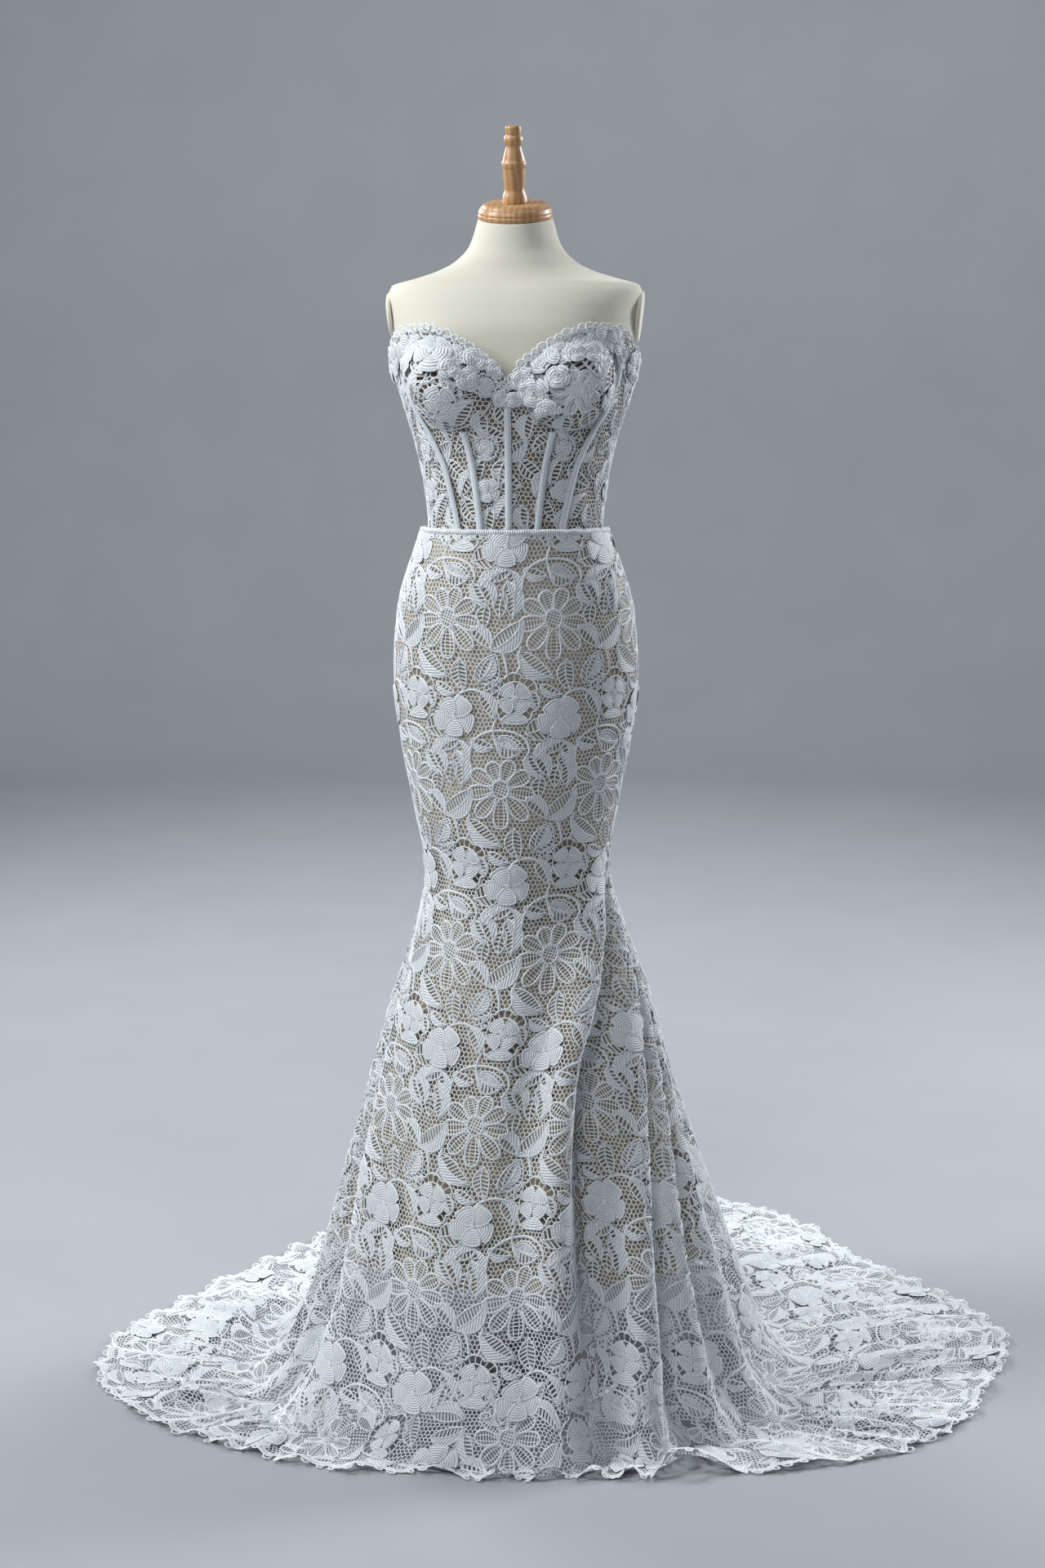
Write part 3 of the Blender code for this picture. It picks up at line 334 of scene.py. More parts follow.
class Lace:
    """Flat lace as triangles. A point is (across, down, height off the panel, rib), and
    rib counts the ribs of its stitches, which the finishes draw."""

    def __init__(self):
        self.points, self.faces, self.kinds, self.motifs = [], [], [], []
        self.count = self.motif = 0
        self.covers = []

    def begin(self):
        """What follows belongs to a new motif, which is kept or left out as a whole."""
        self.motif += 1

    def add(self, points, faces, kind, rib=(40, 1.8)):
        """rib is the direction across the ribs, in degrees, and their pitch, or else each
        point's own count."""
        if isinstance(rib, tuple):
            turn, pitch = math.radians(rib[0]), rib[1]
            rib = (points[:, 0] * math.cos(turn) + points[:, 1] * math.sin(turn)) / pitch
        self.points.append(np.column_stack((points, rib)))
        self.faces.append(faces + self.count)
        self.kinds.append(np.full(len(faces), kind))
        self.motifs.append(np.full(len(faces), 0 if kind == NET else self.motif))
        self.count += len(points)

    def band(self, lines, heights, kind, rib=(40, 1.8), closed=False):
        """Cloth between lines of points, each line at its own height."""
        points = np.vstack([raised(line, height) for line, height in zip(lines, heights)])
        faces = grid_faces(len(lines), len(lines[0]), closed)[:, [0, 3, 2, 1]]
        self.add(points, split(faces), kind, rib)

    def cord(self, line, width, rise, base, closed=False):
        """A raised cord along a line: two faces that meet in a ridge."""
        if closed:
            way = np.roll(line, -1, 0) - np.roll(line, 1, 0)
        else:
            way = np.vstack((line[1:], line[-1:])) - np.vstack((line[:1], line[:-1]))
        side = sideways(way, width)
        self.band((line - side, line, line + side), (base, base + rise, base), CORD,
                  closed=closed)

    def outline(self, ring, width, rise, base):
        """A closed cord, with no mesh inside it."""
        self.cord(ring, width, rise, base, closed=True)
        self.covers.append(ring)

    def threads(self, starts, ends, width=NET_THREAD, base=0.3, kind=NET):
        """Flat threads, each from its start to its end."""
        side = sideways(ends - starts, width)
        corners = np.concatenate((starts - side, starts + side, ends + side, ends - side))
        faces = np.arange(4 * len(starts)).reshape(4, -1).T
        self.add(raised(corners, base), split(faces), kind)

    def dome(self, rings, heights, hub, kind=SATIN, rib=(40, 1.8)):
        """A closed patch through rings of points, from its edge in to its middle."""
        points = [raised(ring, height) for ring, height in zip(rings, heights)]
        points = np.vstack(points + [np.append(rings[-1].mean(0), hub)])
        count = len(rings[0])
        faces = split(grid_faces(len(rings), count, True)[:, [0, 3, 2, 1]])
        top = len(points) - 1
        faces = np.vstack((faces, fan(np.arange(top - count, top), top)))
        self.add(points, faces, kind, rib)

    def knots(self, places, half=0.75, base=0.3, top=1.5):
        """Small worked knots where threads meet."""
        ways = np.array(((1, 0), (0, 1), (-1, 0), (0, -1))) * half
        points = [raised(places + way, base) for way in ways] + [raised(places, top)]
        corners = np.arange(5 * len(places)).reshape(5, -1)
        faces = [corners[[k, (k + 1) % 4, 4]].T for k in range(4)]
        self.add(np.vstack(points), np.concatenate(faces), CORD)

    def merged(self):
        return (np.vstack(self.points), np.vstack(self.faces), np.concatenate(self.kinds),
                np.concatenate(self.motifs))


def turned_by(points, angle, place):
    """Flat points turned by degrees and moved."""
    turn = math.radians(angle)
    cos, sin = math.cos(turn), math.sin(turn)
    return np.stack((points[:, 0] * cos - points[:, 1] * sin,
                     points[:, 0] * sin + points[:, 1] * cos), 1) + place


def round_line(radius, count, lobes=0, depth=0.0, start=0.0):
    """A ring of points, scalloped where it has lobes."""
    turn = np.linspace(0, FULL_TURN, count, endpoint=False) + math.radians(start)
    wave = np.abs(np.cos(lobes * (turn - math.radians(start)) / 2)) ** 0.6 if lobes else 1.0
    reach = radius * (1 - depth + depth * wave)
    return np.stack((reach * np.cos(turn), reach * np.sin(turn)), 1)


def daisy(lace, place, radius, start=90.0):
    """Petals filled with mesh inside a cord, round a mesh middle. The petals that point
    down are the longest."""
    lace.begin()
    # A petal's middle, half length and half width, for a daisy of 46 mm
    size = radius / 46.0
    middle, reach, wide = 28.5, 17.5, 88.0 / DAISY_PETALS
    phi = np.linspace(0, FULL_TURN, 13, endpoint=False)
    swell = 1 + 0.30 * np.cos(phi)
    steps = np.linspace(14.5, 42.5, 8)
    bow = np.sqrt(np.maximum(0, 1 - ((steps - middle) / reach) ** 2))
    half = wide * bow * (1 + 0.30 * (steps - middle) / reach)
    marks = [0, 2, 4, 7]
    for petal in range(DAISY_PETALS):
        angle = start + 360 * petal / DAISY_PETALS
        long = 1.02 + 0.13 * math.sin(math.radians(angle)) + 0.05 * math.sin(2.4 * petal + 1)
        edge = np.stack(((middle + reach * np.cos(phi)) * long, wide * np.sin(phi) * swell), 1)
        lace.outline(turned_by(edge * size, angle, place), 2.7, 1.6, 0.5)
        low, high = (turned_by(np.stack((steps * long, side), 1) * size, angle, place)
                     for side in (-half, half))
        lace.threads(low, high, 1.25, 0.5, CORD)
        for share in (-0.42, 0.42):
            line = np.stack((steps[marks] * long, half[marks] * share), 1) * size
            line = turned_by(line, angle, place)
            lace.threads(line[:-1], line[1:], 1.25, 0.6, CORD)
    lace.outline(round_line(11.0 * size, 14) * (1, 1.2) + place, 2.8, 1.9, 0.6)
    marks = np.array((-6.0, -2.0, 2.0, 6.0)) * size
    half = np.sqrt((10.5 * size) ** 2 - marks ** 2)
    for turn in (20, 110):
        low, high = (turned_by(np.stack((marks, side), 1), turn, place)
                     for side in (-half, half))
        lace.threads(low, high, 1.5, 1.0, CORD)


def petal_patch(lace, place, angle, near, far, half, lift, rise, cord=1.7, notch=0.13):
    """One worked petal: a rounded dome between two distances from the flower's middle,
    with a corded edge. Its ribs run round the flower, and its far end is notched."""
    phi = np.linspace(0, FULL_TURN, PETAL_SIDES, endpoint=False)
    middle, long = (near + far) / 2, (far - near) / 2
    edge = np.stack((middle + long * np.cos(phi),
                     half * np.sin(phi) * (1 + 0.34 * np.cos(phi))), 1)
    edge[:, 0] -= notch * long * np.cos(2 * phi) * (np.cos(phi) > 0.3)
    centre = np.array((middle + 0.15 * long, 0.0))
    rings = [turned_by(centre + (edge - centre) * share, angle, place)
             for share in (1.0, 0.64)]
    places = np.vstack(rings + [rings[-1].mean(0)])
    lace.dome(rings, (lift, lift + rise), lift + 0.7 * rise,
              rib=np.linalg.norm(places - place, axis=1) / RIB_PITCH)
    lace.outline(rings[0], cord, 1.2, lift - 0.1)


def rose(lace, place, radius, start):
    """An open ring of bars inside a scalloped cord, round worked petals. The lowest petal
    of the ring is worked solid."""
    lace.begin()
    outer, inner = (round_line(share * radius, 42, 7, depth, start) + place
                    for share, depth in ((1.0, 0.15), (0.66, 0.06)))
    lace.outline(outer, 2.4, 1.5, 0.5)
    lace.cord(inner[::2], 1.8, 1.3, 0.8, closed=True)
    lace.threads(outer[::2], inner[::2], 1.5, 0.7, SATIN)
    petal_patch(lace, place, 90, 0.56 * radius, 1.04 * radius, 0.50 * radius, 1.3, 0.5)
    for petal in range(4):
        petal_patch(lace, place, start + 38 + 90 * petal, 0.13 * radius, 0.66 * radius,
                    0.31 * radius, 1.2 + 0.5 * (petal % 2), 0.6, 1.8)
    lace.dome((round_line(radius * 0.17, 7) + place,), (1.6,), 3.4)


# How far each petal of a satin flower reaches and how high it lies, as shares
PETALS = ((1.00, 0.0), (0.90, 1.3), (1.06, 0.5), (0.94, 1.6), (1.08, 0.8))


def satin_flower(lace, place, radius, start, lift=1.0, rise=1.0):
    """A smooth flower of satin stitch: five round petals like a pansy's, whose edges lie
    over one another, and which stand out of the lace."""
    lace.begin()
    for k, (reach, height) in enumerate(PETALS):
        petal_patch(lace, place, start + 72 * k, 0.05 * radius, reach * radius,
                    0.40 * radius, lift + height * rise, 0.9 * rise, 2.1, 0.18)
    lace.dome((round_line(radius * 0.13, 6) + place,), (lift + 1.4 * rise,),
              lift + 3.2 * rise, CORD)


def leaf(lace, place, angle, length, width, solid):
    """A leaf on a bent midrib: one half worked solid and the other in slanting bars, or
    both in bars."""
    lace.begin()
    t = np.linspace(0, 1, 7)
    bend = 0.10 * length * np.sin(math.pi * t) * (1 if solid >= 0 else -1)
    swell = width / 2 * np.sin(math.pi * t ** 0.85) ** 0.8
    spine = np.stack((t * length - length / 2, bend), 1)
    side = np.stack((0 * t, swell), 1)
    high, low = spine + side, spine - side
    lace.outline(turned_by(np.vstack((high, low[-2:0:-1])), angle, place), 2.0, 1.3, 0.5)
    middle = turned_by(spine, angle, place)
    lace.cord(middle, 1.8, 1.2, 0.9)
    full, barred = (high, low) if solid > 0 else (low, high)
    if solid:
        # The solid half is worked in ribs
        rim = turned_by(full, angle, place)
        slant = 50 if solid > 0 else -50
        lace.band((middle, (middle + rim) / 2, rim), (1.0, 1.7, 0.6), SATIN,
                  (angle + slant, 3.3))
    marks = np.linspace(0.10, 0.82, max(5, int(length / 5.5)))
    for half in (barred,) if solid else (high, low):
        start, end = (turned_by(between(at, t, line), angle, place)
                      for at, line in ((marks, spine), (marks + 0.09, half)))
        lace.threads(start, end, 2.5, 0.8, SATIN)


def leaves(lace, table, long=1.0, wide=1.0):
    for across, down, angle, length, width, solid in table:
        leaf(lace, (across, down), angle, long * length, wide * width, solid)


def stem(lace, places):
    """A corded stem through a few places, bent smoothly."""
    lace.begin()
    marks = np.arange(len(places))
    fine = np.linspace(0, len(places) - 1, 4 * (len(places) - 1) + 1)
    lace.cord(smoothed(between(fine, marks, places), 3, 0), 3.2, 1.7, 0.5)


def covered(points, covers, shifts):
    """Which points lie inside one of the outlines, in any repeat."""
    inside = np.zeros(len(points), bool)
    for outline in covers:
        lo, hi = outline.min(0), outline.max(0)
        for shift in shifts:
            place = points - shift
            near = np.nonzero(((place > lo) & (place < hi)).all(1))[0]
            x, y = place[near, 0][:, None], place[near, 1][:, None]
            x1, y1 = outline[:, 0], outline[:, 1]
            x2, y2 = np.roll(x1, -1), np.roll(y1, -1)
            crosses = (y1 > y) != (y2 > y)
            crosses &= x < (x2 - x1) * (y - y1) / (y2 - y1 + 1e-12) + x1
            inside[near] |= crosses.sum(1) % 2 == 1
    return inside


def wavered(points, width, height):
    """The mesh isn't quite even: it wavers, the same in every repeat."""
    x, y = (points * FULL_TURN / (width, height)).T
    across = np.sin(3 * x + 4 * y) + np.sin(7 * y - 2 * x)
    down = np.cos(4 * x - 5 * y) + np.sin(6 * x + 2 * y)
    return points + 0.55 * np.stack((across, down), 1)


def net(lace, across, down, width, height, shifts, top=0.0, keep=None):
    """Six-sided mesh over width by height, left out under the motifs."""
    lace.motif = 0
    size = np.array((width / across, height / down))
    # A cell's corners, and its threads: from one corner to another, and in which cell
    corners = np.array(((0.0, 0.0), (0.5, 1 / 6), (0.5, 0.5), (0.0, 2 / 3)))
    joins = ((0, 1, 0, 0), (1, 0, 1, 0), (1, 2, 0, 0), (2, 3, 0, 0), (3, 2, -1, 0), (3, 0, 0, 1))
    cell = np.stack([index.ravel() for index in
                     np.meshgrid(np.arange(across), np.arange(down))], 1).astype(float)
    starts = np.concatenate([cell + corners[join[0]] for join in joins])
    ends = np.concatenate([cell + corners[join[1]] + join[2:] for join in joins])
    starts, ends = (wavered(places * size, width, height) + (0, top)
                    for places in (starts, ends))
    middle = (starts + ends) / 2
    clear = ~covered(middle, lace.covers, shifts)
    if keep is not None:
        clear &= keep(middle)
    lace.threads(starts[clear], ends[clear])
    lace.knots(starts[clear][::17])


def bricks(width, height, across, down):
    """Where repeats lie: each row of them is shifted by half a repeat."""
    return [np.array((i * width + (j % 2) * width / 2, j * height))
            for j in down for i in across]


# Leaves: place, angle, length, width, and which half is worked solid
MAIN_LEAVES = (
    (12, -57, 15, 35, 25, 0), (-54, -24, 82, 42, 22, -1), (-58, 20, -42, 50, 25, 1),
    (42, -30, 58, 30, 15, 1), (45, 24, 45, 34, 18, -1), (-22, 57, 38, 48, 23, 1),
    (50, 62, -58, 40, 26, 0), (19, 70, 82, 36, 19, 0), (52, 108, 62, 32, 17, -1),
    (50, -3, 96, 26, 15, 0), (-4, 88, 25, 26, 13, 1), (-18, 133, -28, 34, 26, 0),
    (0, 160, 150, 30, 16, 1), (78, 158, 20, 30, 22, 0), (16, 170, 84, 32, 17, -1),
    (-84, 62, 120, 30, 16, -1), (-80, -48, 140, 28, 15, 1), (44, 156, 15, 28, 14, 1),
    (-16, 181, 60, 34, 17, -1), (-24, 100, 70, 22, 12, 1), (58, 82, -35, 24, 13, 0),
    (4, 196, 100, 28, 15, 0),
)
MAIN_STEMS = (
    ((-40, -36), (-38, -54), (-28, -68), (-8, -75), (14, -74), (32, -66), (38, -50), (28, -36)),
    ((6, 104), (16, 93), (32, 87), (48, 92), (58, 96)),
    ((-40, 34), (-46, 46), (-40, 56), (-48, 68)),
    ((-66, 36), (-60, 50), (-58, 66)),
    ((-72, 122), (-78, 140), (-72, 156), (-66, 166)),
)
BODICE_LEAVES = (
    (24, -15, 30, 32, 17, 0), (-25, -9, 118, 31, 16, 1), (23, 19, -52, 33, 17, -1),
    (-20, 23, 58, 31, 17, 0), (2, 38, 95, 30, 15, 1), (-38, 45, 24, 31, 16, 0),
    (22, 60, 150, 29, 16, 0), (-14, 66, -35, 33, 17, 1), (7, 90, 40, 31, 16, 0),
    (35, 92, -68, 31, 16, -1), (-26, 94, 104, 31, 16, 0), (42, 34, 82, 29, 15, 1),
)
BORDER_LEAVES = (
    (98, -40, -58, 44, 22, 1), (96, -86, 30, 44, 24, -1), (148, -22, 5, 44, 20, 1),
    (184, -64, 78, 44, 22, 0), (188, -18, 160, 30, 15, -1), (226, -82, 12, 50, 24, -1),
    (258, -42, 70, 40, 20, 1), (4, -100, 150, 40, 22, 0), (6, -18, 20, 36, 18, -1),
    (64, -12, 170, 34, 17, 1), (120, -12, 200, 26, 14, -1), (150, -102, -20, 40, 20, 0),
    (196, -100, 50, 34, 17, 1), (60, -104, 10, 34, 18, -1), (258, -98, 40, 32, 16, -1),
    (232, -8, 175, 24, 12, 0), (28, -108, 62, 36, 18, 1), (84, -108, -64, 36, 18, -1),
    (122, -107, 78, 34, 17, 0), (176, -109, 55, 36, 18, 1), (214, -107, -72, 36, 18, -1),
    (244, -110, 80, 34, 17, 0), (231, -61, -12, 46, 21, 1),
)


def main_repeat():
    lace = Lace()
    daisy(lace, (0, 0), 43.0)
    rose(lace, (-49, 98), 32.0, 12)
    satin_flower(lace, (8, 124), 29.0, 20)
    leaves(lace, MAIN_LEAVES, 1.13, 1.13)
    for places in MAIN_STEMS:
        stem(lace, places)
    net(lace, NET_ACROSS, NET_DOWN, REPEAT, DROP,
        bricks(REPEAT, DROP, range(-3, 4), range(-2, 3)))
    return lace.merged()


def bodice_repeat():
    """The bodice's lace has smaller and closer motifs."""
    lace = Lace()
    satin_flower(lace, (0, 0), 16.0, 25)
    rose(lace, (44, 64), 15.0, 50)
    leaves(lace, BODICE_LEAVES, 1.2, 1.22)
    net(lace, 16, 11, BODICE_REPEAT, BODICE_DROP,
        bricks(BODICE_REPEAT, BODICE_DROP, range(-3, 4), range(-2, 3)))
    return lace.merged()


def scallop(across):
    """How far down the hem's edge reaches, in millimetres past the hem's line."""
    turn = across * math.pi / BORDER_REPEAT
    deep = 9.0 + 4.0 * np.sin(6 * turn + 1)
    return -4.0 + deep * np.abs(np.sin(SCALLOPS * turn + 0.25 * np.sin(4 * turn))) ** 0.6


def border_repeat():
    """One repeat of the hem's border. Its down is measured from the hem's line."""
    lace = Lace()
    daisy(lace, (45, -62), 42.0)
    rose(lace, (143, -62), 31.0, 0.0)
    satin_flower(lace, (222, -24), 27.0, 60, 1.8, 1.6)
    leaves(lace, BORDER_LEAVES)
    across = int(round(BORDER_REPEAT / REPEAT * NET_ACROSS))
    net(lace, across, 12, BORDER_REPEAT, BORDER_DEEP + 6,
        bricks(BORDER_REPEAT, 0.0, (-1, 0, 1), (0,)), -BORDER_DEEP,
        lambda places: places[:, 1] < scallop(places[:, 0]) - 3)
    edge = np.linspace(0, BORDER_REPEAT, SCALLOPS * 8 + 1)
    outer = np.stack((edge, scallop(edge)), 1)
    inner = outer - (0, 6.0)
    lace.band((outer, inner), (0.9, 0.9), SATIN)
    lace.cord(outer, 2.8, 1.6, 0.5)
    lace.cord(inner, 1.8, 1.1, 0.6)
    # Small loops stand out between the scallops
    for k in range(SCALLOPS * 2):
        x = (k + 0.5) * BORDER_REPEAT / (2 * SCALLOPS) + 2 * math.sin(3 * k)
        ring = round_line(4.2 + (k % 3) * 0.7, 8, start=20 * k)
        lace.cord(ring + (x, scallop(np.array(x)) + 2.0), 2.2, 1.5, 0.6, closed=True)
    return lace.merged()


# Cloth that lace is laid on


class Cloth:
    """A panel as a fine grid. across and down are each grid point's distances over the
    cloth, and every row is resampled so that its points lie at the same steps across."""

    STEP = 0.005

    def __init__(self, points, normals, across, reach=None, down=None):
        self.rows = len(points)
        self.row = np.arange(self.rows, dtype=float)
        self.left, self.right = across[:, 0], across[:, -1]
        self.u = np.arange(across.min() - self.STEP, across.max() + 2 * self.STEP, self.STEP)
        reach, fall = (np.zeros(across.shape) if field is None else field
                       for field in (reach, down))
        known = np.concatenate((points, normals, np.stack((reach, fall), -1)), -1)
        field = np.stack([np.stack([np.interp(self.u, places, column) for column in row.T], -1)
                          for places, row in zip(across, known)])
        self.field = field[..., :7]
        self.down = self.fallen(field[..., :3]) if down is None else field[..., 7]

    def fallen(self, points):
        """The distance down the cloth, square to its rows, evened out from side to side."""
        tangent = unit(np.gradient(points, axis=1))[:-1]
        step = np.diff(points, axis=0)
        slide = (step * tangent).sum(-1, keepdims=True) * tangent
        fall = np.vstack((0 * self.u, np.linalg.norm(step - slide, axis=-1)))
        return smoothed(np.cumsum(fall, axis=0), 60, 1)

    def place(self, flat):
        """Lays flat (u, s, height) on the cloth. Returns where each point lands, whether
        it was inside the panel, and its distance from the hem where that is known."""
        u, s, high = flat.T
        column = np.clip((u - self.u[0]) / self.STEP, 0, len(self.u) - 1.001)
        near = column.astype(int)
        share = column - near
        row = np.zeros(len(u))
        for k in np.unique(near):
            at = near == k
            one, other = (np.interp(s[at], self.down[:, c], self.row) for c in (k, k + 1))
            row[at] = one + share[at] * (other - one)
        top, foot = ((1 - share) * self.down[end, near] + share * self.down[end, near + 1]
                     for end in (0, -1))
        inside = (s >= top) & (s <= foot)
        inside &= u >= np.interp(row, self.row, self.left)
        inside &= u <= np.interp(row, self.row, self.right)
        row = np.clip(row, 0, self.rows - 1.001)
        above = row.astype(int)
        t = (row - above)[:, None]
        share = share[:, None]
        upper, lower = ((1 - share) * self.field[r, near] + share * self.field[r, near + 1]
                        for r in (above, above + 1))
        found = (1 - t) * upper + t * lower
        return found[:, :3] + unit(found[:, 3:6]) * high[:, None], inside, found[:, 6]


class Worked:
    """Lace gathered for one piece, as it is laid repeat by repeat."""

    def __init__(self, cloth):
        self.cloth = cloth
        self.points, self.faces, self.kinds, self.flat, self.ribs = [], [], [], [], []
        self.count = 0

    def lay(self, pattern, shift=(0.0, 0.0), keep=None):
        """Lays one copy of a flat pattern, and keeps what falls on the panel. Whether a
        motif is kept is asked once, at its middle, and for the mesh face by face."""
        flat, faces, kinds, motifs = pattern
        cloth = self.cloth
        ribs = flat[:, 3]
        flat = (flat[:, :3] + (*shift, 0.0)) * MM
        (left, top), (right, foot) = flat[:, :2].min(0), flat[:, :2].max(0)
        if right < cloth.left.min() or left > cloth.right.max():
            return
        if foot < cloth.down.min() or top > cloth.down.max():
            return
        placed, inside, reach = cloth.place(flat)
        kept = inside[faces].any(1)
        if keep is not None:
            reach = reach[faces].mean(1)
            middle = np.bincount(motifs, reach) / np.maximum(np.bincount(motifs), 1)
            kept &= keep(np.where(motifs > 0, middle[motifs], reach), motifs > 0)
        if not kept.any():
            return
        used, index = np.unique(faces[kept], return_inverse=True)
        self.points.append(placed[used])
        self.flat.append(flat[used, :2])
        self.ribs.append(ribs[used])
        self.faces.append(index.reshape(-1, 3) + self.count)
        self.kinds.append(kinds[kept])
        self.count += len(used)

    def made(self, name, finishes, slot):
        points, faces = np.vstack(self.points), np.vstack(self.faces)
        whole = areas(points, faces) > LEAST_FACE
        return add_mesh(name, points, faces[whole], finishes, slot,
                        np.concatenate(self.kinds)[whole], np.vstack(self.flat),
                        np.concatenate(self.ribs))


def link(name, data):
    obj = bpy.data.objects.new(name, data)
    bpy.context.scene.collection.objects.link(obj)
    return obj


def add_mesh(name, points, faces, finishes, slot=None, kinds=None, flat=None, ribs=None):
    """A smooth mesh object from arrays, with maps of its place on the cloth and of the
    ribs of its stitches. Where it has a slot, it rides in place of its solid."""
    mesh = bpy.data.meshes.new("worn_" + name)
    mesh.vertices.add(len(points))
    mesh.vertices.foreach_set("co", np.ascontiguousarray(points, np.float32).ravel())
    mesh.loops.add(faces.size)
    mesh.loops.foreach_set("vertex_index", np.ascontiguousarray(faces, np.int32).ravel())
    mesh.polygons.add(len(faces))
    starts = np.arange(0, faces.size, faces.shape[1], dtype=np.int32)
    mesh.polygons.foreach_set("loop_start", starts)
    mesh.update(calc_edges=True)
    if flat is not None:
        lo = flat.min(0)
        span = np.maximum(flat.max(0) - lo, 1e-9).max()
        layers = [("Cloth", flat), ("OFBake", (flat - lo) / span * 0.99 + 0.005)]
        if ribs is not None:
            layers.append(("Ribs", np.stack((ribs, 0 * ribs), 1)))
        for layer, places in layers:
            uvs = mesh.uv_layers.new(name=layer)
            corners = places[faces.ravel()].astype(np.float32)
            uvs.data.foreach_set("uv", np.ascontiguousarray(corners).ravel())
    for finish in finishes:
        mesh.materials.append(finish)
    if kinds is not None:
        mesh.polygons.foreach_set("material_index", np.ascontiguousarray(kinds, np.int32))
    mesh.shade_smooth()
    obj = link("worn_" + name, mesh)
    if slot:
        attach(obj, "root")
        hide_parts(name)
    return obj


def closed_mesh(name, rings, finish, slot, flat=None):
    """Rings of points from foot to top as a body that is closed at both ends."""
    rows, columns = rings.shape[:2]
    ring, count = np.arange(columns), rows * columns
    faces = np.vstack((split(grid_faces(rows, columns, True)[:, ::-1]),
                       fan(ring, count)[:, [1, 0, 2]],
                       fan(ring + count - columns, count + 1)))
    points = np.vstack((rings.reshape(-1, 3), rings[0].mean(0), rings[-1].mean(0)))
    return add_mesh(name, points, faces, [finish], slot, flat=flat)


def turned_mesh(name, profile, place, finish, slot, sides=64):
    """A body of revolution about its own Z."""
    turn = np.linspace(0, FULL_TURN, sides, endpoint=False)
    rings = np.array([np.stack((r * np.cos(turn), r * np.sin(turn), z + 0 * turn), 1)
                      for r, z in profile])
    matrix = np.array(place)
    closed_mesh(name, rings @ matrix[:3, :3].T + matrix[:3, 3], finish, slot)


def add_sheet(name, points, finish, slot):
    """A grid of points as one thin cloth."""
    across, down = distances(points, 1), distances(points)
    flat = np.stack((across - across.mean(1, keepdims=True), down), -1).reshape(-1, 2)
    return add_mesh(name, points.reshape(-1, 3), grid_faces(*points.shape[:2]), [finish], slot,
                    flat=flat)


def declare(obj, points):
    """Works out the width, length and area of a piece of cloth, which go no further."""
    wide, long = (float(distances(points, axis).max()) for axis in (1, 0))
    faces = split(np.roll(grid_faces(*points.shape[:2]), -1, 1))
    area = float(areas(points.reshape(-1, 3), faces).sum())
    area = min(max(area, LEAST_CUT * wide * long), wide * long)


# Materials


class Nodes:
    """A material's node tree, built by short calls."""

    def __init__(self, name, colour, roughness, **sockets):
        self.material = bpy.data.materials.new(name)
        self.material.use_nodes = True
        self.tree = self.material.node_tree
        self.shader = self.tree.nodes["Principled BSDF"]
        sockets.update(Base_Color=(*colour, 1.0), Roughness=roughness)
        for socket, value in sockets.items():
            self.shader.inputs[socket.replace("_", " ")].default_value = value
        self.material.diffuse_color = (*colour, 1.0)

    def put(self, socket, value):
        """A socket is linked to a node's output, or given a constant."""
        if isinstance(value, bpy.types.NodeSocket):
            self.tree.links.new(value, socket)
        else:
            socket.default_value = value

    def add(self, kind, settings=(), **inputs):
        node = self.tree.nodes.new(kind)
        for key, value in dict(settings).items():
            setattr(node, key, value)
        for key, value in inputs.items():
            self.put(node.inputs[key.replace("_", " ")], value)
        return node

    def place(self, scale=(1, 1, 1), layer=None):
        """Coordinates: the object's own, or those of a map on the cloth."""
        if layer:
            source = self.add("ShaderNodeUVMap", {"uv_map": layer}).outputs[0]
        else:
            source = self.add("ShaderNodeTexCoord").outputs["Object"]
        return self.add("ShaderNodeMapping", Vector=source, Scale=scale).outputs[0]

    def noise(self, scale, detail, vector=None):
        vector = self.place() if vector is None else vector
        return self.add("ShaderNodeTexNoise", Vector=vector, Scale=scale,
                        Detail=detail).outputs[0]

    def wave(self, scale, vector, distortion, bands="X"):
        return self.add("ShaderNodeTexWave", {"bands_direction": bands}, Vector=vector,
                        Scale=scale, Distortion=distortion).outputs["Fac"]

    def maths(self, operation, one, other):
        node = self.add("ShaderNodeMath", {"operation": operation})
        self.put(node.inputs[0], one)
        self.put(node.inputs[1], other)
        return node.outputs[0]

    def mix(self, one, share, other):
        """A share of one and the rest of the other."""
        return self.maths("ADD", self.maths("MULTIPLY", one, share),
                          self.maths("MULTIPLY", other, 1 - share))

    def colours(self, factor, *stops):
        node = self.add("ShaderNodeValToRGB", Fac=factor)
        ramp = node.color_ramp
        while len(ramp.elements) < len(stops):
            ramp.elements.new(0.5)
        for element, (place, colour) in zip(ramp.elements, stops):
            element.position = place
            element.color = (*colour, 1.0)
        self.put(self.shader.inputs["Base Color"], node.outputs[0])

    def rough(self, factor, low, high):
        """The factor carried over from 0..1 to low..high is the roughness."""
        node = self.add("ShaderNodeMapRange", Value=factor, To_Min=low, To_Max=high)
        self.put(self.shader.inputs["Roughness"], node.outputs[0])

    def bump(self, height, strength, distance):
        node = self.add("ShaderNodeBump", Height=height, Strength=strength, Distance=distance)
        self.put(self.shader.inputs["Normal"], node.outputs[0])


# A wave texture of this scale has one wave for each unit
ONE_WAVE = FULL_TURN / 20


